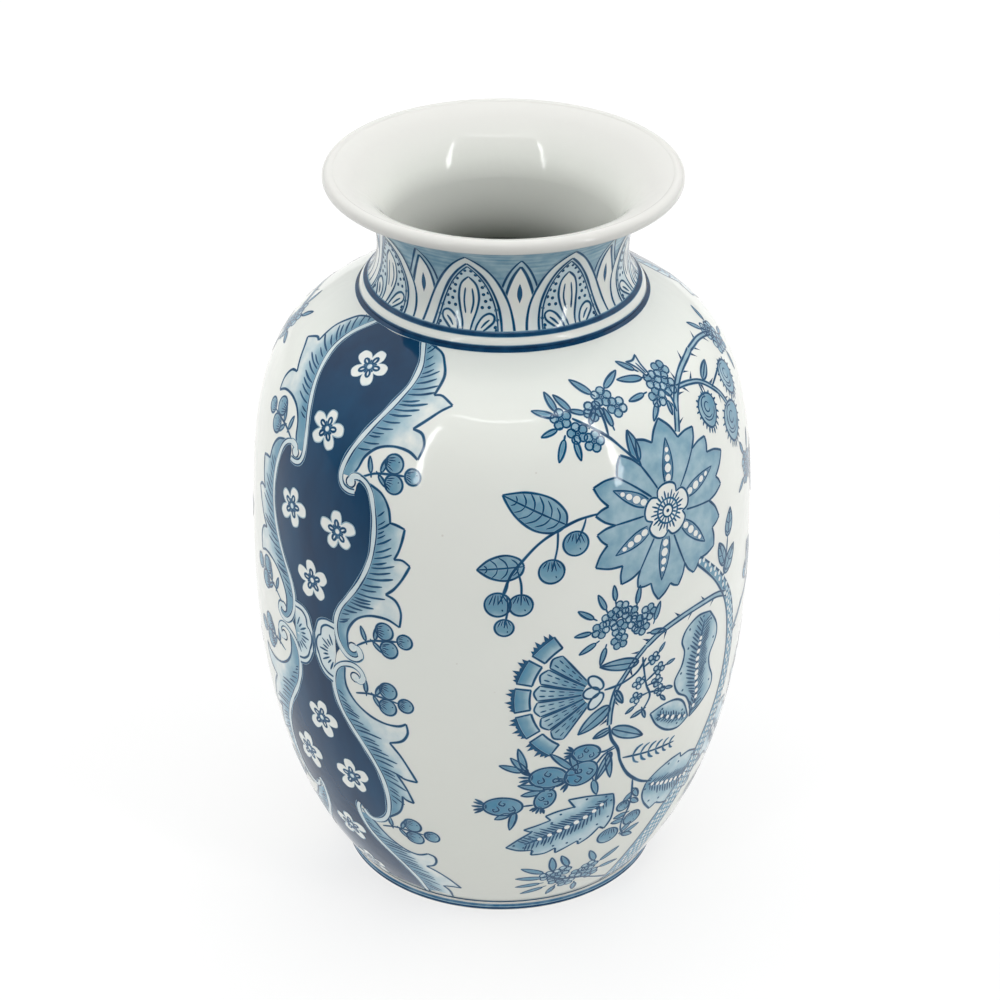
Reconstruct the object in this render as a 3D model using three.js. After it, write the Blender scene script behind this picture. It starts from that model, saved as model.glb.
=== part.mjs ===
// A blue-and-white baluster vase: an egg-shaped belly on a low foot, a waisted neck and a wide flared mouth.
// It is built from the five clay sections that a potter forms one by one and then lutes together with slip:
//   foot_ring     the turned ring that the vase stands on, with a tongue on its top face
//   lower_body    the floor and the belly up to its widest point, with a groove underneath for the tongue
//   upper_body    the belly above its widest point and the shoulder, open at the top
//   neck_collar   the short neck, with the rounded band at its root that covers the shoulder joint
//   flared_mouth  the trumpet mouth with its rolled lip
// Each joint is a bevelled seat that centres the upper section on the lower one, and the mating faces touch.
// Units are millimetres, +Z is up, and the origin is the centre of the foot's resting face.
// An outline is a list of (radius, height) points in the half plane that is turned about the axis.

import * as THREE from "three";

// Driving dimensions
const SEGMENTS = 64;
const HEIGHT = 305;
const BELLY_RADIUS = 100.8;
const BELLY_HEIGHT = 143.3;
const FOOT_RADIUS = 65.4;
const FOOT_HEIGHT = 4.5;
const SHOULDER_RADIUS = 56.2;
const SHOULDER_HEIGHT = 255.1;
const WAIST_RADIUS = 48.9;
const WAIST_HEIGHT = 272;
const MOUTH_JOINT_RADIUS = 49.4;
const MOUTH_JOINT_HEIGHT = 279;
const LIP_RADIUS = 2.9;
const MOUTH_RADIUS = 69.8;

// Wall
const WALL = 5;
const FOOT_WALL = 8;
const FLOOR_TOP = 13;
const FLOOR_UNDERSIDE = 6;
const FLOOR_DOME = 1.5;
const FLOOR_FLAT_RADIUS = 38;
const FLOOR_CORNER_HEIGHT = 27;

// Foot ring
const FOOT_INNER_RADIUS = 56.4;
const FOOT_EDGE = 1.4;
const RECESS_RADIUS = 54.6;
const TONGUE_RADIUS = 61;
const TONGUE_HALF_WIDTH = 1.6;
const TONGUE_HEIGHT = 1.5;
const TONGUE_TAPER = 0.4;

// Joints
const BELLY_BEVEL = 3;
const MOUTH_BEVEL = 1.6;
const SHOULDER_SEAT_RADIUS = 52.2;
const SHOULDER_SEAT_HEIGHT = 250.7;

// Rounded band at the root of the neck
const BAND_TOP_RADIUS = 53.2;
const BAND_TOP_HEIGHT = 259.9;

const glaze = new THREE.MeshStandardMaterial({ color: 0xe4e6e1, roughness: 0.12 });
const bareClay = new THREE.MeshStandardMaterial({ color: 0xcfc8bb, roughness: 0.7 });

const point = (radius, height) => new THREE.Vector2(radius, height);

// Points along a cubic curve, without its last point when another stretch goes on from there.
function stretch(start, leave, arrive, end, steps, withEnd = true) {
  const curve = new THREE.CubicBezierCurve(start, leave, arrive, end);
  const points = curve.getPoints(steps);
  return withEnd ? points : points.slice(0, -1);
}

// The same stretch moved into the clay by a wall thickness that changes evenly from its start to its end.
function innerWall(outer, startWall, endWall) {
  return outer.map((p, i) => {
    const before = outer[Math.max(i - 1, 0)];
    const after = outer[Math.min(i + 1, outer.length - 1)];
    const along = after.clone().sub(before).normalize();
    const wall = startWall + ((endWall - startWall) * i) / (outer.length - 1);
    return point(p.x - along.y * wall, p.y + along.x * wall);
  });
}

// Points on a round edge, from one angle to another, in degrees.
function roundEdge(centre, radius, fromDegrees, toDegrees, steps) {
  return Array.from({ length: steps + 1 }, (_, i) => {
    const angle = THREE.MathUtils.degToRad(fromDegrees + ((toDegrees - fromDegrees) * i) / steps);
    return point(centre.x + radius * Math.cos(angle), centre.y + radius * Math.sin(angle));
  });
}

// One turned section. The outline runs anticlockwise in the (radius, height) half plane.
function section(name, outline, material) {
  const geometry = new THREE.LatheGeometry(outline, SEGMENTS);
  geometry.rotateX(Math.PI / 2);
  const mesh = new THREE.Mesh(geometry, material);
  mesh.name = name;
  return mesh;
}

const closed = (outline) => [...outline, outline[0].clone()];

// Where two sections meet, both take these points.
const footJointOuter = point(FOOT_RADIUS, FOOT_HEIGHT);
const footJointInner = point(FOOT_INNER_RADIUS, FOOT_HEIGHT);
const tongue = [
  point(TONGUE_RADIUS - TONGUE_HALF_WIDTH, FOOT_HEIGHT),
  point(TONGUE_RADIUS - TONGUE_HALF_WIDTH + TONGUE_TAPER, FOOT_HEIGHT + TONGUE_HEIGHT),
  point(TONGUE_RADIUS + TONGUE_HALF_WIDTH - TONGUE_TAPER, FOOT_HEIGHT + TONGUE_HEIGHT),
  point(TONGUE_RADIUS + TONGUE_HALF_WIDTH, FOOT_HEIGHT),
];
const bellyJointOuter = point(BELLY_RADIUS, BELLY_HEIGHT);
const bellyJointInner = point(BELLY_RADIUS - WALL, BELLY_HEIGHT + BELLY_BEVEL);
const shoulderJointOuter = point(SHOULDER_RADIUS, SHOULDER_HEIGHT);
const shoulderJointInner = point(SHOULDER_SEAT_RADIUS, SHOULDER_SEAT_HEIGHT);
const mouthJointOuter = point(MOUTH_JOINT_RADIUS, MOUTH_JOINT_HEIGHT);
const mouthJointInner = point(MOUTH_JOINT_RADIUS - WALL, MOUTH_JOINT_HEIGHT + MOUTH_BEVEL);

function footRing() {
  const outerEdge = point(FOOT_RADIUS - FOOT_EDGE, FOOT_EDGE);
  const innerEdge = point(FOOT_INNER_RADIUS + FOOT_EDGE, FOOT_EDGE);
  const outline = closed([
    ...roundEdge(innerEdge, FOOT_EDGE, 180, 270, 3),
    ...roundEdge(outerEdge, FOOT_EDGE, 270, 360, 3),
    footJointOuter,
    ...[...tongue].reverse(),
    footJointInner,
  ]);
  return section("foot_ring", outline, bareClay);
}

function lowerBody() {
  const bellySlopes = [point(93.6, 42.3), point(BELLY_RADIUS, 93.5)];
  const outer = stretch(footJointOuter, ...bellySlopes, bellyJointOuter, 11);
  const wall = innerWall(outer, FOOT_WALL, WALL);
  const inner = wall.slice(0, -1).filter((p) => p.y > FLOOR_CORNER_HEIGHT);
  const floorCorner = stretch(
    inner[0],
    point(inner[0].x - 7, inner[0].y - 11),
    point(FLOOR_FLAT_RADIUS + 16, FLOOR_TOP),
    point(FLOOR_FLAT_RADIUS, FLOOR_TOP),
    5,
  );
  const outline = [
    point(0, FLOOR_UNDERSIDE + FLOOR_DOME),
    point(RECESS_RADIUS / 2, FLOOR_UNDERSIDE + FLOOR_DOME * 0.75),
    point(RECESS_RADIUS, FLOOR_UNDERSIDE),
    footJointInner,
    ...tongue,
    ...outer,
    bellyJointInner,
    ...inner.slice(1).reverse(),
    ...floorCorner,
    point(0, FLOOR_TOP),
  ];
  return section("lower_body", outline, glaze);
}

function upperBody() {
  const shoulderSlopes = [point(BELLY_RADIUS, 225.8), point(90.1, 237.5)];
  const outer = stretch(bellyJointOuter, ...shoulderSlopes, shoulderJointOuter, 13);
  const inner = innerWall(outer, WALL, WALL).slice(1, -1);
  const outline = closed([...outer, shoulderJointInner, ...inner.reverse(), bellyJointInner]);
  return section("upper_body", outline, glaze);
}

function neckCollar() {
  const bandTop = point(BAND_TOP_RADIUS, BAND_TOP_HEIGHT);
  const bandSlopes = [point(56.9, 256.7), point(54.8, 259.1)];
  const band = stretch(shoulderJointOuter, ...bandSlopes, bandTop, 4, false);
  const cove = stretch(
    bandTop,
    point(BAND_TOP_RADIUS - 2.4, BAND_TOP_HEIGHT + 2.2),
    point(WAIST_RADIUS, WAIST_HEIGHT - 5),
    point(WAIST_RADIUS, WAIST_HEIGHT),
    5,
  );
  const inner = stretch(
    mouthJointInner,
    point(WAIST_RADIUS - WALL, WAIST_HEIGHT - 4),
    point(WAIST_RADIUS - WALL, SHOULDER_HEIGHT + 2),
    shoulderJointInner,
    6,
    false,
  );
  const outline = closed([...band, ...cove, mouthJointOuter, ...inner, shoulderJointInner]);
  return section("neck_collar", outline, glaze);
}

function flaredMouth() {
  const lipCentre = point(MOUTH_RADIUS - LIP_RADIUS, HEIGHT - LIP_RADIUS);
  const lip = roundEdge(lipCentre, LIP_RADIUS, -72, 126, 11);
  const underside = stretch(
    mouthJointOuter,
    point(WAIST_RADIUS + 1.5, MOUTH_JOINT_HEIGHT + 9),
    point(WAIST_RADIUS + 8, HEIGHT - 8.2),
    lip[0],
    8,
    false,
  );
  const throat = stretch(
    lip[lip.length - 1],
    point(WAIST_RADIUS + 5.5, HEIGHT - 3.4),
    point(WAIST_RADIUS - WALL + 1.5, MOUTH_JOINT_HEIGHT + 13),
    mouthJointInner,
    9,
  );
  const outline = closed([...underside, ...lip, ...throat.slice(1)]);
  return section("flared_mouth", outline, glaze);
}

const vase = new THREE.Group();
vase.add(footRing(), lowerBody(), upperBody(), neckCollar(), flaredMouth());

export default vase;
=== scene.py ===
"""A blue-and-white baluster vase, painted by hand under a clear glaze.

The five clay sections are turned again here with fine, smooth outlines, and the painting is laid on them as
thin coats of mesh. A coat is drawn on the vase's wall as if the wall were a flat sheet: a place on the sheet
is (azimuth, up), with azimuth in degrees from the front, positive to the right, and up in millimetres along
the wall. A motif is drawn in millimetres round a Pen, which sits somewhere on the sheet. Sizes are in
millimetres until a mesh is built in metres.
"""

import bisect
import math
import random

import bpy
from mathutils import Matrix, Vector
from mathutils.geometry import delaunay_2d_cdt


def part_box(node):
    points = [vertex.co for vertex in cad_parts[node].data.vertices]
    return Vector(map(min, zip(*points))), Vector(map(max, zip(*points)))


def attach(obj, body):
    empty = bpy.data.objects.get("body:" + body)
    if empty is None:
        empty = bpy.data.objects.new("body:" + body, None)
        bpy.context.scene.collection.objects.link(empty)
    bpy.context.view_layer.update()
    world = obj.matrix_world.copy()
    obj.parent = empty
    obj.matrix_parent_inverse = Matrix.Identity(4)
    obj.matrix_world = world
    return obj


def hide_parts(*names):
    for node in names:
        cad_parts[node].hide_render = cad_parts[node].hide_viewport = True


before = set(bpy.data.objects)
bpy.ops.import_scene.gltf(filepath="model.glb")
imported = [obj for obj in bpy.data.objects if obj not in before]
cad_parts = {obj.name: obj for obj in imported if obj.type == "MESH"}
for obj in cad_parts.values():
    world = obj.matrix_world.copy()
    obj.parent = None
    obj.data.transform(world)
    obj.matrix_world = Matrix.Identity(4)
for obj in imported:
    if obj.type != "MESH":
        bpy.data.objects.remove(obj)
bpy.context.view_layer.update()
random.seed(7)

# ---------------------------------------------------------------- driving dimensions, from the frame

MM = 0.001


def node_size(node):
    """A CAD node's radius, lowest height and highest height, in millimetres."""
    low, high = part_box(node)
    return high[0] / MM, low[2] / MM, high[2] / MM


BELLY_RADIUS, BELLY_HEIGHT, SHOULDER_HEIGHT = node_size("upper_body")
FOOT_RADIUS = node_size("foot_ring")[0]
FOOT_HEIGHT = node_size("lower_body")[1]
MOUTH_RADIUS, MOUTH_JOINT_HEIGHT, HEIGHT = node_size("flared_mouth")

# The rest of the outline, as on the CAD sections
SHOULDER_RADIUS = 56.2
WAIST_RADIUS, WAIST_HEIGHT = 48.9, 272.0
BAND_TOP_RADIUS, BAND_TOP_HEIGHT = 53.2, 259.9
MOUTH_JOINT_RADIUS = 49.4
LIP_RADIUS = 2.9
WALL = 5.0
FLOOR_TOP, FLOOR_UNDERSIDE, FLOOR_DOME = 13.0, 6.0, 1.5
FOOT_INNER_RADIUS, FOOT_EDGE, RECESS_RADIUS = 56.4, 1.4, 54.6

# The clay is this much smaller than the CAD solid, so that the coats of paint stay inside the CAD solid's
# box.
GLAZE_DEPTH = 0.17
WASH_LIFT, INK_LIFT, PALE_LIFT, DETAIL_LIFT = 0.03, 0.06, 0.1, 0.13
CORE_LIFT = 0.015  # the dark middle of an ink line stands this much over its pale edges
LAYERING = 0.008  # strokes of one coat differ in height by up to this much, so that none lie in one plane

SEGMENTS = 256
ROW = 1.2  # longest step along an outline
STROKE_STEP = 0.9  # longest step along a stroke
INK_EDGE = 0.22  # width of the pale edge where an ink line has spread into the glaze
INK_WEIGHT = 0.76  # how much of its full width a brush line in ink keeps
INK_CORE = 0.75  # how much of that is fully dark


# ---------------------------------------------------------------- outlines and turned sections


def curve(start, leave, arrive, end):
    """A cubic stretch of an outline, as (radius, height, normal radius, normal height) rows."""
    p = [Vector(q) for q in (start, leave, arrive, end)]
    length = sum((b - a).length for a, b in zip(p, p[1:]))
    steps = max(1, math.ceil(length / ROW))
    rows = []
    for i in range(steps + 1):
        t = i / steps
        s = 1 - t
        at = p[0] * s**3 + p[1] * 3 * s * s * t + p[2] * 3 * s * t * t + p[3] * t**3
        along = (p[1] - p[0]) * s * s + (p[2] - p[1]) * 2 * s * t + (p[3] - p[2]) * t * t
        along.normalize()
        rows.append((at.x, at.y, along.y, -along.x))
    return rows


def straight(start, end):
    a, b = Vector(start), Vector(end)
    return curve(a, a.lerp(b, 1 / 3), a.lerp(b, 2 / 3), b)


def arc(centre, radius, from_degrees, to_degrees, steps=12):
    """A round stretch that bulges out of the clay."""
    rows = []
    for i in range(steps + 1):
        angle = math.radians(from_degrees + (to_degrees - from_degrees) * i / steps)
        c, s = math.cos(angle), math.sin(angle)
        rows.append((centre[0] + radius * c, centre[1] + radius * s, c, s))
    return rows


def sunk(rows):
    """The stretch moved into the clay by the glaze's depth."""
    return [(r - nr * GLAZE_DEPTH, z - nz * GLAZE_DEPTH, nr, nz) for r, z, nr, nz in rows]


def start_of(rows):
    return rows[0][:2]


def end_of(rows):
    return rows[-1][:2]


FOOT = (FOOT_RADIUS, FOOT_HEIGHT)
BELLY = (BELLY_RADIUS, BELLY_HEIGHT)
SHOULDER = (SHOULDER_RADIUS, SHOULDER_HEIGHT)
BAND_TOP = (BAND_TOP_RADIUS, BAND_TOP_HEIGHT)
WAIST = (WAIST_RADIUS, WAIST_HEIGHT)
MOUTH_JOINT = (MOUTH_JOINT_RADIUS, MOUTH_JOINT_HEIGHT)

lower_wall = sunk(curve(FOOT, (93.6, 42.3), (BELLY_RADIUS, 93.5), BELLY))
upper_wall = sunk(curve(BELLY, (BELLY_RADIUS, 225.8), (90.1, 237.5), SHOULDER))
shoulder_band = sunk(curve(SHOULDER, (56.9, 256.7), (54.8, 259.1), BAND_TOP))
neck_cove = sunk(curve(BAND_TOP, (50.8, 262.1), (WAIST_RADIUS, 267), WAIST))
neck_top = sunk(curve(WAIST, (WAIST_RADIUS, 274.3), (49.1, 276.8), MOUTH_JOINT))
lip = sunk(arc((MOUTH_RADIUS - LIP_RADIUS, HEIGHT - LIP_RADIUS), LIP_RADIUS, -72, 126, 24))
lip_under = (lip[0][0] + GLAZE_DEPTH * lip[0][2], lip[0][1] + GLAZE_DEPTH * lip[0][3])
mouth_flare = sunk(curve(MOUTH_JOINT, (50.4, 288), (56.9, 296.8), lip_under))


class Wall:
    """The outer face along some stretches of outline, as a sheet that can be painted on."""

    def __init__(self, *stretches):
        self.rows = [row for rows in stretches for row in rows]
        self.ups = [0.0]
        for a, b in zip(self.rows, self.rows[1:]):
            self.ups.append(self.ups[-1] + math.hypot(b[0] - a[0], b[1] - a[1]))
        self.turn = 0.0  # degrees by which the next strokes go round the vase, for the repeats

    def row(self, up):
        i = min(max(bisect.bisect_right(self.ups, up) - 1, 0), len(self.rows) - 2)
        while self.ups[i + 1] == self.ups[i]:
            i -= 1
        t = (up - self.ups[i]) / (self.ups[i + 1] - self.ups[i])
        return [a + (b - a) * t for a, b in zip(self.rows[i], self.rows[i + 1])]

    def degree(self, up):
        """The length of one degree of azimuth at this height, in millimetres."""
        return math.radians(self.row(up)[0])

    def point(self, spot, lift=0.0):
        """The place of a spot of the sheet, lifted off the wall, and the wall's normal there."""
        r, z, nr, nz = self.row(spot[1])
        angle = math.radians(spot[0] + self.turn)
        out = Vector((math.sin(angle), -math.cos(angle), 0))
        normal = (out * nr + Vector((0, 0, nz))).normalized()
        return out * r + Vector((0, 0, z)) + normal * lift, normal


body_wall = Wall(lower_wall, upper_wall)
neck_wall = Wall(shoulder_band, neck_cove, neck_top, mouth_flare)


def new_piece(name, vertices, faces, normals, uvs, material, nodes=()):
    """A mesh piece in metres, with a normal and a bake coordinate for each face corner."""
    mesh = bpy.data.meshes.new(name)
    mesh.from_pydata([v * MM for v in vertices], [], faces)
    mesh.polygons.foreach_set("use_smooth", [True] * len(faces))
    layer = mesh.uv_layers.new(name="OFBake")
    layer.uv.foreach_set("vector", [c for uv in uvs for c in uv])
    mesh.normals_split_custom_set(normals)
    mesh.materials.append(material)
    piece = bpy.data.objects.new(name, mesh)
    bpy.context.collection.objects.link(piece)
    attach(piece, "root")
    if nodes:
        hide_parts(*nodes)
    return piece


def turned(name, stretches, material, is_closed=True):
    """A clay section turned about the axis. Its outline runs anticlockwise, and its corners stay sharp."""
    rows = []
    spans = []
    for stretch in stretches:
        if rows and math.dist(rows[-1][:2], stretch[0][:2]) < 1e-6:
            rows.pop()
        first = len(rows)
        rows += [row[:2] for row in stretch]
        spans += [(first + i, stretch[i], stretch[i + 1]) for i in range(len(stretch) - 1)]
    if is_closed:
        rows.pop()
    count = len(rows)
    vertices, index = [], {}
    for i, (r, z) in enumerate(rows):
        on_axis = r < 1e-6
        for k in range(1 if on_axis else SEGMENTS):
            angle = math.tau * k / SEGMENTS
            index[i, k] = len(vertices)
            vertices.append(Vector((r * math.sin(angle), -r * math.cos(angle), z)))
        if on_axis:
            index.update({(i, k): index[i, 0] for k in range(SEGMENTS)})
    faces, normals, uvs = [], [], []
    for i, low, high in spans:
        j = (i + 1) % count
        for k in range(SEGMENTS):
            corners = [(i, k, low, 0), (i, k + 1, low, 0), (j, k + 1, high, 1), (j, k, high, 1)]
            face = []
            for n, step, row, ahead in corners:
                vertex = index[n, step % SEGMENTS]
                if vertex in face:
                    continue
                face.append(vertex)
                angle = math.tau * step / SEGMENTS
                normals.append(Vector((row[2] * math.sin(angle), -row[2] * math.cos(angle), row[3])))
                uvs.append((step / SEGMENTS, (i + ahead) / len(rows)))
            faces.append(face)
    return new_piece(name, vertices, faces, normals, uvs, material, [name])


# ---------------------------------------------------------------- materials


class Shader:
    """A node material with one Principled shader, and short ways to add nodes to it."""

    def __init__(self, name):
        self.material = bpy.data.materials.new(name)
        self.material.use_nodes = True
        self.nodes = self.material.node_tree.nodes
        self.links = self.material.node_tree.links
        self.surface = self.nodes["Principled BSDF"]
        self.place = self.nodes.new("ShaderNodeTexCoord").outputs["Object"]

    def noise(self, scale, detail=2.0, stretch=(1, 1, 1)):
        mapping = self.nodes.new("ShaderNodeMapping")
        mapping.inputs["Scale"].default_value = stretch
        self.links.new(self.place, mapping.inputs["Vector"])
        node = self.nodes.new("ShaderNodeTexNoise")
        node.inputs["Scale"].default_value = scale
        node.inputs["Detail"].default_value = detail
        self.links.new(mapping.outputs["Vector"], node.inputs["Vector"])
        return node.outputs["Fac"]

    def ramp(self, value, low, high, to_low=0.0, to_high=1.0):
        """The value, moved from one range to another and held inside it."""
        node = self.nodes.new("ShaderNodeMapRange")
        for name, number in zip(("From Min", "From Max", "To Min", "To Max"), (low, high, to_low, to_high)):
            node.inputs[name].default_value = number
        self.links.new(value, node.inputs["Value"])
        return node.outputs["Result"]

    def math(self, operation, a, b):
        node = self.nodes.new("ShaderNodeMath")
        node.operation = operation
        for socket, value in zip(node.inputs, (a, b)):
            if isinstance(value, (int, float)):
                socket.default_value = value
            else:
                self.links.new(value, socket)
        return node.outputs["Value"]

    def mix(self, factor, a, b):
        node = self.nodes.new("ShaderNodeMix")
        node.data_type = "RGBA"
        self.links.new(factor, node.inputs["Factor"])
        for socket, value in ((node.inputs[6], a), (node.inputs[7], b)):
            if isinstance(value, tuple):
                socket.default_value = (*value, 1)
            else:
                self.links.new(value, socket)
        return node.outputs[2]

    def blend(self, value, stops):
        """A colour that changes evenly through the stops, which are (position, colour)."""
        node = self.nodes.new("ShaderNodeValToRGB")
        elements = node.color_ramp.elements
        while len(elements) < len(stops):
            elements.new(0.5)
        for element, (position, colour) in zip(elements, stops):
            element.position = position
            element.color = (*colour, 1)
        self.links.new(value, node.inputs["Fac"])
        return node.outputs["Color"]

    def attribute(self, name):
        node = self.nodes.new("ShaderNodeAttribute")
        node.attribute_name = name
        return node.outputs["Fac"]

    def axis(self, letter):
        node = self.nodes.new("ShaderNodeSeparateXYZ")
        self.links.new(self.place, node.inputs["Vector"])
        return node.outputs[letter]

    def colour(self, socket):
        self.links.new(socket, self.surface.inputs["Base Color"])

    def roughness(self, socket):
        self.links.new(socket, self.surface.inputs["Roughness"])

    def bump(self, height, distance):
        node = self.nodes.new("ShaderNodeBump")
        node.inputs["Distance"].default_value = distance
        self.links.new(height, node.inputs["Height"])
        self.links.new(node.outputs["Normal"], self.surface.inputs["Normal"])

    def glaze(self):
        """The clear glaze over clay and paint alike: glossy and faintly uneven, as it flowed in the kiln."""
        self.surface.inputs["IOR"].default_value = 1.5
        self.surface.inputs["Specular IOR Level"].default_value = 0.25
        self.roughness(self.ramp(self.noise(55, 3), 0.3, 0.7, 0.04, 0.09))
        rings = self.noise(26, 1, (0.15, 0.15, 1))
        peel = self.noise(190, 1)
        self.bump(self.math("ADD", rings, self.math("MULTIPLY", peel, 0.1)), 0.0008)


GLAZE = (0.715, 0.73, 0.695)
GLAZE_SHADE = (0.685, 0.705, 0.67)
GLAZE_MOUTH = (0.6, 0.6, 0.58)  # the glaze is drawn darker and a little warmer over the top of the mouth
GLAZE_LOW_SHADE = (0.54, 0.555, 0.51)  # painted shade: the glaze is drawn darker and a little greyer towards the foot, where the lower body gets less light


def painted(name, stops, mottle, streaks=(1, 1, 1), grain=170):
    """A glazed paint. The tone attribute picks a place among the stops, and the brush leaves it mottled."""
    s = Shader(name)
    cloud = s.ramp(s.noise(grain, 4, streaks), 0.25, 0.75, -mottle, mottle)
    s.colour(s.blend(s.math("ADD", s.attribute("tone"), cloud), stops))
    s.glaze()
    return s.material


def white_glaze():
    s = Shader("white_glaze")
    cloud = s.ramp(s.noise(14, 3), 0.3, 0.7)
    body = s.mix(cloud, GLAZE, GLAZE_SHADE)
    # Painted shade: below the belly the glaze colour darkens towards the foot, standing in for the shade on
    # the lower body.
    body = s.mix(s.ramp(s.axis("Z"), BELLY_HEIGHT * MM, 0.0, 0.0, 0.8), body, GLAZE_LOW_SHADE)
    rim = s.ramp(s.axis("Z"), (HEIGHT - 16) * MM, (HEIGHT - 4) * MM)
    warm = s.mix(rim, body, GLAZE_MOUTH)
    specks = s.nodes.new("ShaderNodeTexVoronoi")
    specks.inputs["Scale"].default_value = 60
    s.links.new(s.place, specks.inputs["Vector"])
    speck = s.ramp(specks.outputs["Distance"], 0.035, 0.02)
    s.colour(s.mix(s.math("MULTIPLY", speck, 0.35), warm, (0.42, 0.38, 0.33)))
    s.glaze()
    return s.material


def bare_clay():
    s = Shader("bare_clay")
    cloud = s.ramp(s.noise(90, 5), 0.3, 0.7)
    s.colour(s.mix(cloud, (0.62, 0.61, 0.575), (0.52, 0.5, 0.46)))
    s.roughness(s.ramp(s.noise(400, 3), 0.3, 0.7, 0.6, 0.85))
    s.bump(s.noise(900, 3), 0.0002)
    return s.material


WHITE = white_glaze()
CLAY = bare_clay()
PALE_BLUE = (0.37, 0.5, 0.56)
MIDDLE_BLUE = (0.15, 0.295, 0.39)
STRONG_BLUE = (0.045, 0.195, 0.325)
WASH_STOPS = [(0.0, GLAZE), (0.3, PALE_BLUE), (0.6, MIDDLE_BLUE), (1.0, STRONG_BLUE)]
INK_STOPS = [(0.0, (0.33, 0.48, 0.56)), (0.55, (0.014, 0.095, 0.2)), (1.0, (0.002, 0.03, 0.085))]
NAVY_STOPS = [(0.0, (0.003, 0.05, 0.12)), (1.0, (0.0008, 0.022, 0.065))]
PALE_STOPS = [(0.0, GLAZE), (0.5, (0.48, 0.6, 0.65)), (1.0, MIDDLE_BLUE)]
WASH = painted("blue_wash", WASH_STOPS, 0.12)
INK = painted("blue_ink", INK_STOPS, 0.14)
NAVY = painted("navy_ground", NAVY_STOPS, 0.45, (1, 1, 0.35), 60)
PALE = painted("pale_slip", PALE_STOPS, 0.08)


# ---------------------------------------------------------------- the sections

ROOT_SEAT = (52.2, 250.7)
BELLY_SEAT = (BELLY_RADIUS - WALL, BELLY_HEIGHT + 3)
MOUTH_SEAT = (MOUTH_JOINT_RADIUS - WALL, MOUTH_JOINT_HEIGHT + 1.6)
CORNER = (82.0, 52.0)


def foot_ring():
    outer = FOOT_RADIUS - GLAZE_DEPTH
    inner_edge = (FOOT_INNER_RADIUS + FOOT_EDGE, FOOT_EDGE)
    outer_edge = (outer - FOOT_EDGE, FOOT_EDGE)
    top = start_of(lower_wall)[1]
    return turned(
        "foot_ring",
        [
            arc(inner_edge, FOOT_EDGE, 180, 270, 8),
            straight((inner_edge[0], 0), (outer_edge[0], 0)),
            arc(outer_edge, FOOT_EDGE, 270, 360, 8),
            straight((outer, FOOT_EDGE), (start_of(lower_wall)[0], top)),
            straight((start_of(lower_wall)[0], top), (FOOT_INNER_RADIUS, top)),
            straight((FOOT_INNER_RADIUS, top), (FOOT_INNER_RADIUS, FOOT_EDGE)),
        ],
        CLAY,
    )


def lower_body():
    top = start_of(lower_wall)[1]
    inner = curve(BELLY_SEAT, (95.8, 100), (91.5, 75), CORNER)
    floor = curve(CORNER, (70, 24), (58, FLOOR_TOP), (38, FLOOR_TOP))
    return turned(
        "lower_body",
        [
            straight((0, FLOOR_UNDERSIDE + FLOOR_DOME), (RECESS_RADIUS, FLOOR_UNDERSIDE)),
            straight((RECESS_RADIUS, FLOOR_UNDERSIDE), (FOOT_INNER_RADIUS, top)),
            straight((FOOT_INNER_RADIUS, top), start_of(lower_wall)),
            lower_wall,
            straight(end_of(lower_wall), BELLY_SEAT),
            inner,
            floor,
            straight((38, FLOOR_TOP), (0, FLOOR_TOP)),
        ],
        WHITE,
        is_closed=False,
    )


def upper_body():
    return turned(
        "upper_body",
        [
            upper_wall,
            straight(end_of(upper_wall), ROOT_SEAT),
            curve(ROOT_SEAT, (86, 233), (BELLY_SEAT[0], 222), BELLY_SEAT),
            straight(BELLY_SEAT, start_of(upper_wall)),
        ],
        WHITE,
    )


def neck_collar():
    waist = WAIST_RADIUS - WALL
    return turned(
        "neck_collar",
        [
            shoulder_band,
            neck_cove,
            neck_top,
            straight(end_of(neck_top), MOUTH_SEAT),
            curve(MOUTH_SEAT, (waist, 268), (waist, 257), ROOT_SEAT),
            straight(ROOT_SEAT, start_of(shoulder_band)),
        ],
        WHITE,
    )


def flared_mouth():
    return turned(
        "flared_mouth",
        [
            mouth_flare,
            lip,
            curve(end_of(lip), (54.4, 301.6), (45.4, 292), MOUTH_SEAT),
            straight(MOUTH_SEAT, start_of(mouth_flare)),
        ],
        WHITE,
    )


# ---------------------------------------------------------------- painting


def inside(spot, outline):
    """True if a flat point lies inside a flat closed outline."""
    x, y = spot
    found = False
    for (ax, ay), (bx, by) in zip(outline, outline[1:] + outline[:1]):
        if (ay > y) != (by > y) and x < (bx - ax) * (y - ay) / (by - ay) + ax:
            found = not found
    return found


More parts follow.
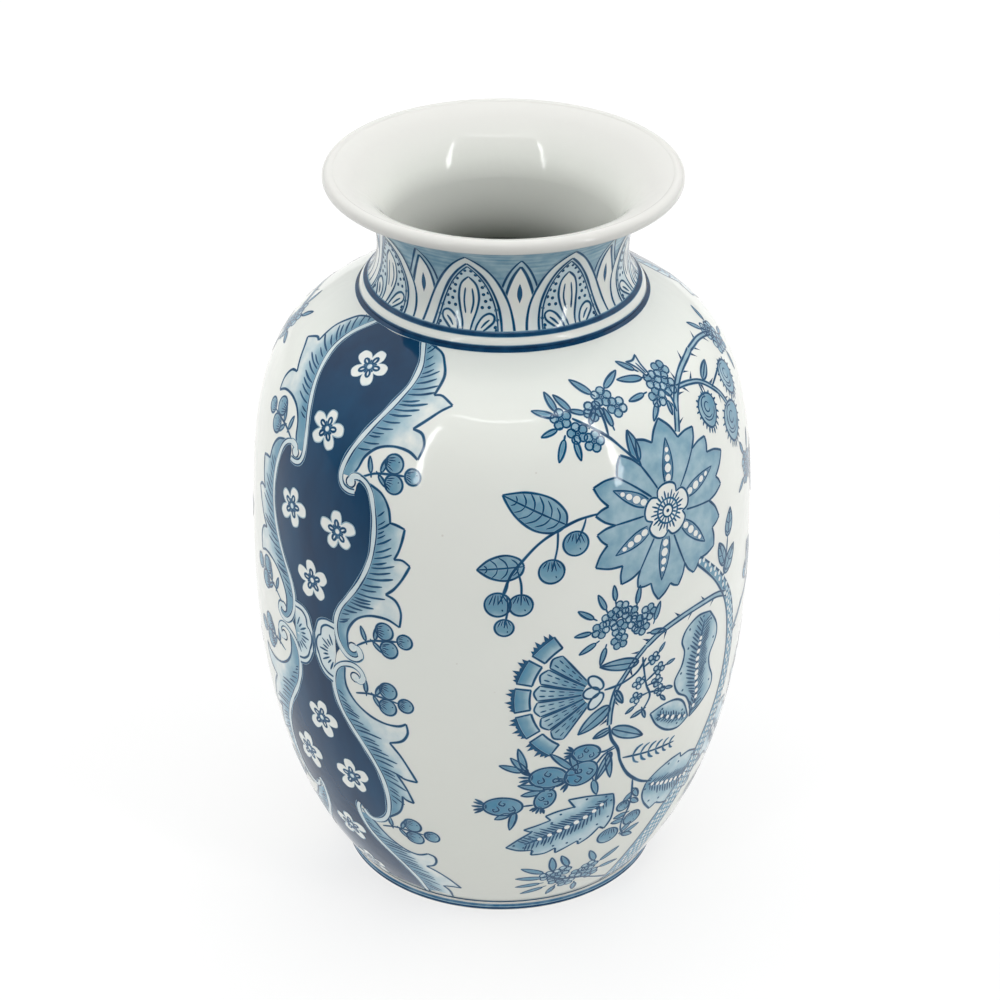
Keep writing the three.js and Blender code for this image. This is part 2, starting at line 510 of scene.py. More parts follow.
class Coat:
    """Everything that is painted in one colour on one wall. It becomes one mesh, just proud of the wall."""

    def __init__(self, name, wall, lift, material, edge=0.0, grid=2.2, slot="blue_underglaze"):
        self.name, self.wall, self.lift, self.material, self.slot = name, wall, lift, material, slot
        self.edge, self.grid = edge, grid
        self.vertices, self.normals, self.tones, self.sheet, self.faces = [], [], [], [], []
        self.strokes = 0

    def next_lift(self):
        self.strokes += 1
        return self.lift + LAYERING * (self.strokes * 0.618 % 1)

    def add(self, place, normal, tone, spot):
        self.vertices.append(place)
        self.normals.append(normal)
        self.tones.append(tone)
        self.sheet.append(spot)
        return len(self.vertices) - 1

    def fill(self, outline, tone=0.5):
        """Paints inside a closed outline. The tone is a number, or a function of the spot."""
        across = self.wall.degree(sum(up for _, up in outline) / len(outline))
        flat = [(az * across, up) for az, up in outline]
        low_x, high_x = min(x for x, _ in flat), max(x for x, _ in flat)
        low_y, high_y = min(y for _, y in flat), max(y for _, y in flat)
        inner = []
        for j in range(1, math.ceil((high_y - low_y) / self.grid)):
            for i in range(1, math.ceil((high_x - low_x) / self.grid)):
                spot = (low_x + (i + 0.5 * (j % 2)) * self.grid, low_y + j * self.grid)
                if inside(spot, flat):
                    inner.append(spot)
        count = len(flat)
        edges = [(i, (i + 1) % count) for i in range(count)]
        points = [Vector(p) for p in flat + inner]
        found, _, faces, _, _, _ = delaunay_2d_cdt(points, edges, [], 1, 1e-4)
        first = len(self.vertices)
        lift = self.next_lift()
        for p in found:
            spot = (p.x / across, p.y)
            place, normal = self.wall.point(spot, lift)
            self.add(place, normal, tone(spot) if callable(tone) else tone, spot)
        self.faces += [[first + i for i in face] for face in faces]

    def line(self, path, width, tone=0.85, taper=0.45):
        """A brush stroke. Its width swells and thins a little, and its ends taper to a share of its width.

        In a coat with an edge, the stroke is dark along its middle and fades over its edge on both sides.
        """
        path = [p for i, p in enumerate(path) if i == 0 or math.dist(p, path[i - 1]) > 1e-4]
        if len(path) < 2:
            return
        lift = self.next_lift()
        at = [self.wall.point(p, lift) for p in path]
        lengths = [0.0]
        for (a, _), (b, _) in zip(at, at[1:]):
            lengths.append(lengths[-1] + (b - a).length)
        total = lengths[-1]
        swell, pace = random.uniform(0, math.tau), random.uniform(0.25, 0.5)
        rows = []
        for i, (place, normal) in enumerate(at):
            along = at[min(i + 1, len(at) - 1)][0] - at[max(i - 1, 0)][0]
            side = normal.cross(along).normalized()
            near = min(lengths[i], total - lengths[i]) / max(min(total * 0.5, width * 2.5), 1e-6)
            share = 1 + 0.12 * math.sin(swell + pace * lengths[i])
            share *= taper + (1 - taper) * min(near, 1) ** 0.6
            half = width / 2 * share
            across = [(-half, tone, 0), (half, tone, 0)]
            if self.edge:
                half *= INK_WEIGHT
                spread = half + self.edge * (0.4 + 0.6 * share)
                core = half * INK_CORE
                across = [(-spread, 0, 0), (-core, tone, CORE_LIFT), (core, tone, CORE_LIFT), (spread, 0, 0)]
            rows.append([self.add(place + side * d + normal * up, normal, t, path[i]) for d, t, up in across])
        for a, b in zip(rows, rows[1:]):
            self.faces += [[a[k], b[k], b[k + 1], a[k + 1]] for k in range(len(a) - 1)]

    def loop(self, path, width, tone=0.85):
        """A stroke right round a closed outline."""
        self.line(path + path[:2], width, tone, taper=1)

    def ring(self, low, high, tone=0.85, below=0.35, above=0.35):
        """A line right round the vase between two heights, which fades over these widths at its edges."""
        solid = high - above - low - below
        middle = max(1, round(solid / 0.5))
        rows = [(low + below + solid * j / middle, tone) for j in range(middle + 1)]
        if below:
            rows.insert(0, (low, 0.0))
        if above:
            rows.append((high, 0.0))
        lift = self.next_lift()
        first = len(self.vertices)
        for up, row_tone in rows:
            for i in range(SEGMENTS + 1):
                spot = (360 * i / SEGMENTS, up)
                place, normal = self.wall.point(spot, lift + (CORE_LIFT if row_tone else 0))
                self.add(place, normal, row_tone, spot)
        stride = SEGMENTS + 1
        for j in range(len(rows) - 1):
            for i in range(SEGMENTS):
                a = first + j * stride + i
                self.faces.append([a, a + 1, a + 1 + stride, a + stride])

    def build(self):
        """Makes the mesh. Its bake coordinates are the sheet itself, scaled to fill the square."""
        lows = [min(spot[k] for spot in self.sheet) for k in (0, 1)]
        spans = [max(spot[k] for spot in self.sheet) - lows[k] for k in (0, 1)]
        uvs, normals = [], []
        for face in self.faces:
            for i in face:
                uvs.append([0.005 + 0.99 * (self.sheet[i][k] - lows[k]) / spans[k] for k in (0, 1)])
                normals.append(self.normals[i])
        piece = new_piece(self.name, self.vertices, self.faces, normals, uvs, self.material)
        layer = piece.data.attributes.new("tone", "FLOAT", "POINT")
        layer.data.foreach_set("value", self.tones)


class Kit:
    """The coats used for one part of the decoration, from the lowest to the highest."""

    def __init__(self, region, wall, grid=2.2):
        self.wall = wall
        self.wash = Coat(region + "_wash", wall, WASH_LIFT, WASH, grid=grid)
        self.ink = Coat(region + "_ink", wall, INK_LIFT, INK, INK_EDGE, grid)
        self.pale = Coat(region + "_pale", wall, PALE_LIFT, PALE, grid=grid)
        self.detail = Coat(region + "_detail", wall, DETAIL_LIFT, INK, INK_EDGE, grid)

    def build(self):
        for coat in (self.wash, self.ink, self.pale, self.detail):
            if coat.faces:
                coat.build()


def flow(points, wall=body_wall, step=STROKE_STEP):
    """A smooth path through the points, in short steps. Its points are spots of the sheet."""
    ends = [points[0]] + list(points) + [points[-1]]
    path = []
    for a, b, c, d in zip(ends, ends[1:], ends[2:], ends[3:]):
        reach = math.hypot((c[0] - b[0]) * wall.degree(b[1]), c[1] - b[1])
        steps = max(2, math.ceil(reach / step))
        for i in range(steps):
            t = i / steps
            path.append(
                tuple(
                    0.5
                    * (
                        2 * b[k]
                        + (c[k] - a[k]) * t
                        + (2 * a[k] - 5 * b[k] + 4 * c[k] - d[k]) * t * t
                        + (3 * b[k] - a[k] - 3 * c[k] + d[k]) * t**3
                    )
                    for k in (0, 1)
                )
            )
    return path + [tuple(points[-1])]


def outline_of(stretches, wall=body_wall):
    """One closed outline from smooth stretches, which meet in corners."""
    whole = []
    for stretch in stretches:
        whole += flow(stretch, wall)[:-1]
    return whole


class Pen:
    """Where a motif is drawn: its own millimetre axes, set somewhere on a wall's sheet, turned and scaled."""

    def __init__(self, kit, azimuth, up, turn=0.0, size=1.0, mirror=1):
        self.kit, self.azimuth, self.up = kit, azimuth, up
        self.turn, self.size, self.mirror = turn, size, mirror

    def spot(self, x, y):
        angle = math.radians(self.turn)
        x *= self.mirror
        across = (x * math.cos(angle) - y * math.sin(angle)) * self.size
        along = (x * math.sin(angle) + y * math.cos(angle)) * self.size
        up = self.up + along
        return self.azimuth + across / self.kit.wall.degree(up), up

    def moved(self, x, y, turn=0.0, size=1.0):
        """Another pen, at a point of this one's axes."""
        azimuth, up = self.spot(x, y)
        return Pen(self.kit, azimuth, up, self.turn + turn * self.mirror, self.size * size, self.mirror)

    def path(self, points):
        return flow([self.spot(x, y) for x, y in points], self.kit.wall)

    def ring(self, x, y, rx, ry=None, count=None):
        ry = rx if ry is None else ry
        count = count or max(9, math.ceil(math.tau * max(rx, ry) * self.size / STROKE_STEP))
        return [
            self.spot(x + rx * math.cos(math.tau * i / count), y + ry * math.sin(math.tau * i / count))
            for i in range(count)
        ]

    def polar(self, radius, degrees):
        angle = math.radians(degrees)
        return radius * math.cos(angle), radius * math.sin(angle)


# The square of the millimetres in a degree on the belly, near enough for the direction of any wash
DEGREE_WEIGHT = 2.9


def fade(start, end, from_tone, to_tone):
    """A tone that changes evenly from one spot to another."""
    dx, dy = end[0] - start[0], end[1] - start[1]
    weight = DEGREE_WEIGHT
    length = dx * dx * weight + dy * dy

    def tone(spot):
        t = ((spot[0] - start[0]) * dx * weight + (spot[1] - start[1]) * dy) / length
        return from_tone + (to_tone - from_tone) * min(max(t, 0), 1)

    return tone


# ---------------------------------------------------------------- small motifs


def berry(pen, radius):
    """A round berry. Its stalk comes from the pen's y direction, and short strokes fan out below it."""
    kit = pen.kit
    outline = pen.ring(0, 0, radius)
    kit.wash.fill(outline, fade(pen.spot(0, radius), pen.spot(0, -radius), 0.95, 0.45))
    kit.ink.loop(outline, 0.85)
    for k in (-0.62, -0.3, 0.02, 0.34, 0.64):
        reach = random.uniform(-0.1, 0.35)
        root = (k * 0.55 * radius, 0.86 * radius)
        kit.ink.line(pen.path([root, (k * 1.1 * radius, reach * radius)]), 0.6, taper=0.2)
    kit.ink.line(pen.path([(0.3 * radius, -0.4 * radius), (0.4 * radius, -0.55 * radius)]), 0.7)


def leaf_sides(length, width, sway=0.0):
    """The left side, the midrib and the right side of a leaf that points along its pen's y axis."""
    profile = [(0, 0), (0.32, 0.1), (0.5, 0.38), (0.36, 0.72), (0, 1)]
    middle = [(sway * math.sin(math.pi * v), v * length) for _, v in profile]
    right = [(mx + u * width, my) for (u, _), (mx, my) in zip(profile, middle)]
    left = [(mx - u * width, my) for (u, _), (mx, my) in zip(profile, middle)]
    return left, middle, right


def leaf(pen, length, width, veins=5, sway=0.0, tone=0.5):
    left, middle, right = leaf_sides(length, width, sway)
    kit = pen.kit
    left_path, right_path = pen.path(left), pen.path(right)
    shade = fade(pen.spot(-width, 0), pen.spot(width, 0), tone + 0.3, tone - 0.1)
    kit.wash.fill(right_path + left_path[-2:0:-1], shade)
    kit.ink.line(left_path, 1.0, taper=0.6)
    kit.ink.line(right_path, 0.9, taper=0.6)
    kit.ink.line(pen.path(middle), 0.8, taper=0.3)
    for i in range(veins):
        v = 0.12 + 0.66 * i / max(veins - 1, 1)
        bow = sway * math.sin(math.pi * v)
        reach = 0.37 * width * math.sin(math.pi * min(v + 0.14, 1)) + 0.06 * width
        for side in (-1, 1):
            bend = (bow + side * reach * 0.55, v * length + 0.2 * reach)
            tip = (bow + side * reach, v * length + 0.7 * reach)
            kit.ink.line(pen.path([(bow, v * length), bend, tip]), 0.7, taper=0.25)


def small_leaf(pen, length, width=None, tone=0.75):
    """A plain pointed leaf on a short stalk."""
    width = width or length * 0.25
    pen.kit.ink.line(pen.path([(0, -1.8), (0, 0.6)]), 0.8)
    left, _, right = leaf_sides(length, width)
    left_path, right_path = pen.path(left), pen.path(right)
    pen.kit.wash.fill(right_path + left_path[-2:0:-1], tone)
    pen.kit.ink.line(left_path, 0.95)
    pen.kit.ink.line(right_path, 0.75)


def twig(kit, points, width=1.0):
    kit.ink.line(flow(points, kit.wall), width, taper=0.5)


def blossom(pen, radius, petals=5, tone=0.4):
    kit = pen.kit
    first = random.uniform(0, 360 / petals)
    kit.wash.fill(pen.ring(0, 0, radius * 0.5), 0.7)
    for k in range(petals):
        x, y = pen.polar(radius * 0.62, first + k * 360 / petals)
        petal = pen.ring(x, y, radius * 0.42)
        kit.wash.fill(petal, tone + random.uniform(-0.15, 0.25))
        kit.ink.loop(petal, 0.62)
    kit.ink.fill(pen.ring(0, 0, radius * 0.2), 0.8)


def bud(pen, length, width):
    """A round bud with a crown of sepals at its tip, along the pen's y axis."""
    kit = pen.kit
    outline = pen.ring(0, length / 2, width / 2, length / 2)
    kit.wash.fill(outline, fade(pen.spot(0, 0), pen.spot(0, length), 0.7, 0.95))
    kit.ink.loop(outline, 1.0)
    kit.ink.fill(pen.ring(0, length * 0.97, width * 0.17, length * 0.07), 0.8)
    for k in (-1.2, -0.7, 0, 0.7, 1.2):
        root = (k * width * 0.12, length * 0.96)
        kit.ink.line(pen.path([root, (k * width * 0.34, length * (1.3 - 0.07 * abs(k)))]), 1.5, taper=0.15)
    for x, y, r, side in ((-0.16, 0.7, 0.19, 1), (0.18, 0.5, 0.18, -1), (-0.12, 0.3, 0.18, 1)):
        coil = []
        for reach, degrees in [(0.1, 0), (0.45, 80), (0.7, 170), (0.9, 260), (1.0, 340)]:
            dx, dy = pen.polar(reach * r * width, degrees * side)
            coil.append((x * width + dx, y * length + dy))
        kit.ink.line(pen.path(coil), 0.95)


def burr(pen, width, height):
    """A prickly husk that hangs from its stalk and narrows to its lower end, with a coil inside."""
    kit = pen.kit
    shape = []
    for k in range(20):
        degrees = 18 * k
        x, y = pen.polar(1, degrees)
        shape.append((x * width / 2 * (1 + 0.22 * y), y * height / 2))
    outline = pen.path(shape + shape[:1])[:-1]
    kit.wash.fill(outline, fade(pen.spot(-width / 2, 0), pen.spot(width / 2, 0), 0.4, 0.75))
    kit.ink.loop(outline, 0.95)
    for k in range(20):
        x, y = shape[k]
        reach = 1.26 + 0.06 * (k % 2)
        kit.ink.line(pen.path([(x * 0.98, y * 0.98), (x * reach, y * reach - 0.8)]), 1.0, taper=0.15)
    for size, start, end in ((0.62, 60, 300), (0.3, 20, 330), (0.8, 210, 340)):
        points = [pen.polar(size, start + (end - start) * t / 6) for t in range(7)]
        placed = [(x * width / 2, y * height / 2 + 0.12 * height) for x, y in points]
        kit.ink.line(pen.path(placed), 0.65, taper=0.2)


def spray(pen, blossoms, leaves, radius=4.0):
    """A cluster of blossoms with pointed leaves round it. Leaves are (x, y, turn, length)."""
    for x, y, turn, length in leaves:
        small_leaf(pen.moved(x, y, turn), length)
    for x, y in blossoms:
        blossom(pen.moved(x, y), radius)


def fern(pen, length, count=5, leaflet=5.5):
    kit = pen.kit
    kit.ink.line(pen.path([(0, 0), (0.4, length * 0.5), (0, length)]), 1.0)
    for i in range(count):
        y = length * (0.18 + 0.72 * i / (count - 1))
        size = leaflet * (1 - 0.45 * i / count)
        for side in (-1, 1):
            points = [(0, y), (side * size * 0.6, y + size * 0.3), (side * size * 0.85, y + size * 0.75)]
            kit.ink.line(pen.path(points), 1.4, tone=0.6, taper=0.3)


def thorny_stem(kit, points, width=1.7, thorns=5):
    """A stem drawn as two lines with a wash between them, and thorns on alternate sides."""
    path = flow(points, kit.wall)
    kit.wash.line(path, width, 0.45, taper=0.8)
    at = [kit.wall.degree(up) for _, up in path]
    sides = ([], [])
    for i, (azimuth, up) in enumerate(path):
        a, b = path[max(i - 1, 0)], path[min(i + 1, len(path) - 1)]
        dx, dy = (b[0] - a[0]) * at[i], b[1] - a[1]
        length = math.hypot(dx, dy) or 1
        for side, spots in zip((-1, 1), sides):
            away = side * width / 2 / length
            spots.append((azimuth - away * dy / at[i], up + away * dx))
    for spots in sides:
        kit.ink.line(spots, 0.85, taper=0.7)
    for k in range(thorns):
        i = min(max(round((k + 0.6) / thorns * (len(path) - 1)), 1), len(path) - 2)
        spots = sides[k % 2]
        out = ((spots[i][0] - path[i][0]) / width * 2, (spots[i][1] - path[i][1]) / width * 2)
        ahead = path[min(i + 3, len(path) - 1)]
        reach = width / 2 + random.uniform(2.6, 3.8)
        tip = (ahead[0] + out[0] * reach, ahead[1] + out[1] * reach)
        kit.ink.fill([spots[i - 1], tip, spots[i + 1]], 0.85)


# ---------------------------------------------------------------- the big flower and the fan flower

# The edge of each petal of the big flower, anticlockwise, as (degrees, millimetres from the centre). The
# petals have three points each; a narrow one lies between two of them.
STAR_PETALS = [
    [(49, 25.3), (54, 33.2), (68.5, 28), (84.5, 36.1), (95.5, 28.3), (107, 32.7), (115, 23.2)],
    [(115, 23.2), (123, 32.5), (137, 28.5)],
    [(137, 28.5), (151, 35.5), (161, 27.5), (169, 32.3), (178, 24)],
    [(178, 24), (183, 31.8), (193.5, 28.6), (204.5, 36.3), (217.5, 27.5), (227.5, 33.3), (236, 25.2)],
    [(236, 25.2), (241.5, 31.8), (252, 29.5), (261.5, 36.8), (271, 31.3), (278, 34.2), (288, 26.9)],
    [(288, 26.9), (293, 34.6), (302.5, 32.4), (316, 37.3), (325.5, 31.2), (334, 34.4), (347.5, 24.6)],
    [(347.5, 24.6), (356, 33.1), (364.5, 29.8), (376.5, 37.3), (389.5, 29), (399, 32.8), (409, 25.3)],
]
STAR_PODS = [(82, 28.4), (148, 27.7), (205.5, 27.4), (262, 28.8), (314, 29.8), (16, 28.4)]
STAR_HEART = 11.2  # reach of the white lobes at the centre


def bowed(pen, start, end, bow):
    """A stretch between two points that bows out to its right."""
    dx, dy = end[0] - start[0], end[1] - start[1]
    middle = ((start[0] + end[0]) / 2 + dy * bow, (start[1] + end[1]) / 2 - dx * bow)
    return pen.path([start, middle, end])


def star_pod(pen, degrees, reach):
    """A slit in a petal that shows a row of white seeds."""
    kit = pen.kit
    pod = pen.moved(0, 0, degrees - 90)
    low = 10.5
    long = reach - low
    side = [(1.5, low), (2.5, low + 0.3 * long), (1.9, low + 0.65 * long), (0, reach)]
    right, left = pod.path(side), pod.path([(-x, y) for x, y in side])
    kit.ink.fill(right + left[-2::-1], 0.42)
    kit.ink.line(right, 0.8, 0.8)
    kit.ink.line(left, 0.8, 0.8)
    for share, radius in ((0.14, 1.35), (0.35, 1.55), (0.56, 1.25), (0.74, 0.9)):
        kit.pale.fill(pod.ring(0, low + share * long, radius, radius * 1.12), 0.03)


def star_heart(pen):
    """Five white lobes round a dotted disc, with dark stamens over them."""
    kit = pen.kit
    lobes = []
    for k in range(5):
        degrees = 88 - 72 * k
        around = ((0.72, -36), (0.93, -25), (1, -9), (1, 9), (0.93, 25))
        lobe = [pen.polar(STAR_HEART * r, degrees - a) for r, a in around]
        lobes.append(lobe)
    rim = []
    for k, lobe in enumerate(lobes):
        rim += pen.path(lobe + lobes[(k + 1) % 5][:1])[:-1]
    kit.pale.fill(rim, 0.05)
    kit.detail.loop(rim, 0.85)
    for k in range(26):
        degrees = 360 / 26 * k
        reach = 8.4 if k % 2 else 7.2
        kit.detail.line(pen.path([pen.polar(4.8, degrees), pen.polar(reach, degrees)]), 0.75, taper=0.3)
    for k in range(16):
        degrees = 22.5 * k
        kit.detail.line(pen.path([pen.polar(2.6, degrees), pen.polar(4.9, degrees)]), 0.75, 0.7)
    kit.detail.loop(pen.ring(0, 0, 5.0), 0.8, 0.6)
    kit.detail.loop(pen.ring(0, 0, 2.5), 0.8)
    kit.detail.fill(pen.ring(0, 0, 0.8), 0.8)


def star_flower(pen):
    kit = pen.kit
    outline = []
    for petal in STAR_PETALS:
        for start, end in zip(petal, petal[1:]):
            edge = bowed(pen, pen.polar(start[1], start[0]), pen.polar(end[1], end[0]), 0.07)
            outline += edge[:-1]
            kit.ink.line(edge, 1.05, taper=0.85)
    middle = pen.spot(0, 0)
    across = kit.wall.degree(middle[1])

    def tone(spot):
        away = math.hypot((spot[0] - middle[0]) * across, spot[1] - middle[1])
        return 0.6 - 0.16 * math.sin(math.pi * min(away / STAR_PETALS[0][3][1], 1))

    kit.wash.fill(outline, tone)
    for petal in STAR_PETALS:
        degrees, reach = petal[0]
        bend = pen.polar(0.7 * reach, degrees - 2)
        points = [pen.polar(reach, degrees), bend, pen.polar(10.5, degrees - 5)]
        kit.ink.line(pen.path(points), 0.9, taper=0.7)
    for degrees, reach in STAR_PODS:
        star_pod(pen, degrees, reach)
    star_heart(pen)


def fan_pleat(pen, low, high):
    """One pleat of the fan's heart, between two directions."""
    kit = pen.kit
    inner, outer = 6.0, 24.0
    sides = [[pen.polar(inner, low), pen.polar(outer, low)], [pen.polar(outer, high), pen.polar(inner, high)]]
    rim = [pen.polar(outer, low), pen.polar(outer + 1.6, (low + high) / 2), pen.polar(outer, high)]
    paths = [pen.path(sides[0]), pen.path(rim), pen.path(sides[1])]
    outline = [spot for path in paths for spot in path[:-1]] + [paths[-1][-1]]
    kit.wash.fill(outline, fade(pen.spot(0, inner), pen.spot(0, outer), 0.8, 0.3))
    kit.ink.line(paths[0], 0.85)
    kit.ink.line(paths[1], 0.8)
    kit.ink.line(paths[2], 0.85)
    for share in (0.3, 0.7):
        degrees = low + (high - low) * share
        for reach in (9.5, 13.5, 17.5, 21.0):
            stroke = [pen.polar(reach, degrees), pen.polar(reach + 2.4, degrees)]
            kit.ink.line(pen.path(stroke), 0.7, taper=0.4)


def fan_plate(pen, low, high):
    """One plate of the fan's rim: a wash that darkens outwards, edged with teeth."""
    kit = pen.kit
    inner, middle = 27.0, 33.2
    arcs = [[pen.polar(r, low + (high - low) * j / 5) for j in range(6)] for r in (inner, middle)]
    outline = pen.path(arcs[0]) + pen.path(arcs[1][::-1])
    centre = pen.spot(0, 0)
    across = kit.wall.degree(centre[1])

    def tone(spot):
        away = math.hypot((spot[0] - centre[0]) * across, spot[1] - centre[1])
        return 0.25 + 0.7 * min(max((away - inner) / (middle - inner), 0), 1)

    kit.wash.fill(outline, tone)
    kit.ink.loop(outline, 0.9)
    count = 6
    teeth = [pen.polar(middle - 0.6, low)]
    for j in range(count):
        tip = middle + 2.6 + 1.3 * math.sin(2.4 * j)
        teeth.append(pen.polar(tip, low + (high - low) * (j + 0.35) / count))
        teeth.append(pen.polar(middle + 0.9, low + (high - low) * (j + 1) / count))
    teeth[-1] = pen.polar(middle - 0.6, high)
    spots = [pen.spot(x, y) for x, y in teeth]
    kit.detail.fill(spots + pen.path(arcs[1][::-1])[1:-1], 0.7)


FAN_PLEATS, FAN_PLATES, FAN_SPREAD = 6, 5, 56.0


def fan_flower(pen):
    """A flower that opens as a fan along the pen's y axis: a pleated heart and a toothed rim."""
    kit = pen.kit
    for k in range(FAN_PLEATS):
        low = 90 - FAN_SPREAD + 2 * FAN_SPREAD * k / FAN_PLEATS
        fan_pleat(pen, low + 1, low + 2 * FAN_SPREAD / FAN_PLEATS - 1)
    for k in range(FAN_PLATES):
        low = 90 - FAN_SPREAD * 1.06 + 2.12 * FAN_SPREAD * k / FAN_PLATES
        fan_plate(pen, low, low + 2.12 * FAN_SPREAD / FAN_PLATES * 0.82)
    for side in (-1, 1):
        sepal = pen.moved(side * 2.4, -1.0, -side * 50)
        outline = sepal.ring(0, 2.5, 2.3, 4.2)
        kit.pale.fill(outline, 0.3)
        kit.detail.loop(outline, 0.85)
    kit.pale.fill(pen.ring(0, 2.5, 2.6, 3.4), 0.4)
    kit.detail.loop(pen.ring(0, 2.5, 2.6, 3.4), 0.85)


# ---------------------------------------------------------------- beaded leaves and the trunk


def beaded_leaf(kit, sides, spine, beads=7, bead=1.5, hatch=4.2, specks=12):
    """A broad leaf with white beads along its spine. Its sides are stretches that meet in teeth."""
    outline = outline_of(sides, kit.wall)
    middle = flow(spine, kit.wall)
    scale = kit.wall.degree(sum(up for _, up in middle) / len(middle))

    def tone(spot):
        near = min(math.hypot((spot[0] - az) * scale, spot[1] - up) for az, up in middle[::3])
        return 0.85 - 0.6 * min(near / (hatch * 1.6), 1) ** 0.8

    kit.wash.fill(outline, tone)
    for stretch in sides:
        kit.ink.line(flow(stretch, kit.wall), 0.95, taper=0.8)
    count = len(middle)
    for i in range(2, count - 2, 2):
        share = i / count
        az, up = middle[i]
        dx = (middle[i + 1][0] - middle[i - 1][0]) * scale
        dy = middle[i + 1][1] - middle[i - 1][1]
        length = math.hypot(dx, dy)
        dx, dy = dx / length, dy / length
        reach = hatch * (0.6 + 0.55 * math.sin(math.pi * share)) * random.uniform(0.85, 1.2)
        for side in (-1, 1):
            across = (-side * dy * 0.8 + dx * 0.6, side * dx * 0.8 + dy * 0.6)
            start = (az + across[0] * 0.6 / scale, up + across[1] * 0.6)
            end = (az + across[0] * reach / scale, up + across[1] * reach)
            kit.ink.line(flow([start, end], kit.wall), 1.0, taper=0.2)
    kit.ink.line(middle, 2.4, tone=0.75, taper=0.3)
    for k in range(beads):
        share = 0.1 + 0.72 * k / (beads - 1)
        pen = Pen(kit, *middle[round(share * (count - 1))])
        kit.pale.fill(pen.ring(0, 0, bead * (1 - 0.35 * abs(2 * share - 0.9))), 0.0)
    for k in range(specks):
        az, up = outline[round((k + 0.5) / specks * (len(outline) - 1))]
        near = min(middle, key=lambda m: math.hypot((m[0] - az) * scale, m[1] - up))
        share = 2.4 / max(math.hypot((near[0] - az) * scale, near[1] - up), 5)
        pen = Pen(kit, az + (near[0] - az) * share, up + (near[1] - up) * share)
        kit.ink.fill(pen.ring(0, 0, 0.6), 0.75)


def trunk(kit, spine, widths):
    """A tapering trunk covered in rows of small scales."""
    path = flow(spine, kit.wall)
    count = len(path)

    def across(i, side):
        share = i / (count - 1) * (len(widths) - 1)
        k = min(int(share), len(widths) - 2)
        half = (widths[k] + (widths[k + 1] - widths[k]) * (share - k)) / 2
        a, b = path[max(i - 1, 0)], path[min(i + 1, count - 1)]
        scale = kit.wall.degree(path[i][1])
        dx, dy = (b[0] - a[0]) * scale, b[1] - a[1]
        length = math.hypot(dx, dy)
        offset = side * half
        return path[i][0] - dy / length * offset / scale, path[i][1] + dx / length * offset

    left = [across(i, -1) for i in range(count)]
    right = [across(i, 1) for i in range(count)]
    kit.wash.fill(right + left[::-1], 0.72)
    kit.ink.line(left, 1.0, taper=0.8)
    kit.ink.line(right, 1.0, taper=0.8)
    for i in range(2, count - 2, 3):
        width = math.hypot((right[i][0] - left[i][0]) * kit.wall.degree(path[i][1]), right[i][1] - left[i][1])
        row = max(1, round(width / 3.2))
        for j in range(row):
            side = ((j + 0.5 + 0.5 * ((i // 3) % 2)) / row * 2 - 1) * 0.8
            pen = Pen(kit, *across(i, side))
            kit.pale.fill(pen.ring(0, 0, 0.8, 1.05), 0.2 + 0.4 * (j % 2))


# ---------------------------------------------------------------- the dark band with its scrolls

# The band's axis sways a little as it goes down the vase: (up, azimuth).
BAND_AXIS = [(0, -46), (75, -46), (120, -46.4), (190, -46.3), (215, -46.0), (245, -44.8), (275, -44)]

# The right-hand border of each lobe, and the leaves outside it, are (degrees from the axis, up).
BORDERS = [
    [(12.6, 274), (15.2, 268.5), (16.7, 264), (17.2, 259), (16.8, 254), (15.3, 248), (13.5, 242), (11.5, 236)]
    + [(9.6, 230), (7.9, 224), (6.8, 218), (6.5, 213), (7.4, 209.6), (9.2, 208.3), (11, 208.5)],
    [(9.6, 212), (9.9, 214.2), (11.5, 214.9), (13.6, 213.6), (15.2, 210.5), (16.2, 205.5), (16.9, 199)]
    + [(17, 192), (16.5, 184.5), (15.1, 177), (13.1, 170), (10.7, 163.5), (8.4, 157.5), (7.1, 151)]
    + [(7.2, 145), (8.4, 140), (10.4, 136.8), (12.6, 136.6), (13.9, 138.8), (13.2, 141.8), (11.8, 141.6)],
    [(12.2, 128), (13.5, 126.8), (14.4, 129), (13.6, 132), (11.4, 133.4), (8.4, 131.6), (6.4, 127.5)]
    + [(5.8, 121.5), (6.3, 115), (7.8, 108.5), (10, 102.5), (12.4, 96.5), (14.7, 90), (16.5, 83)]
    + [(17.4, 76), (17.6, 69), (17, 62), (15.6, 57), (13.6, 54), (11.3, 52.9), (9.6, 54.4), (8.8, 57.2)],
    [(7.6, 60), (6.9, 57.5), (6.8, 53.5), (7.2, 49), (8.4, 43.5), (10.7, 37.5), (13.5, 31.5), (16.2, 25)]
    + [(18.4, 18), (19.6, 11), (19.8, 2.2)],
]
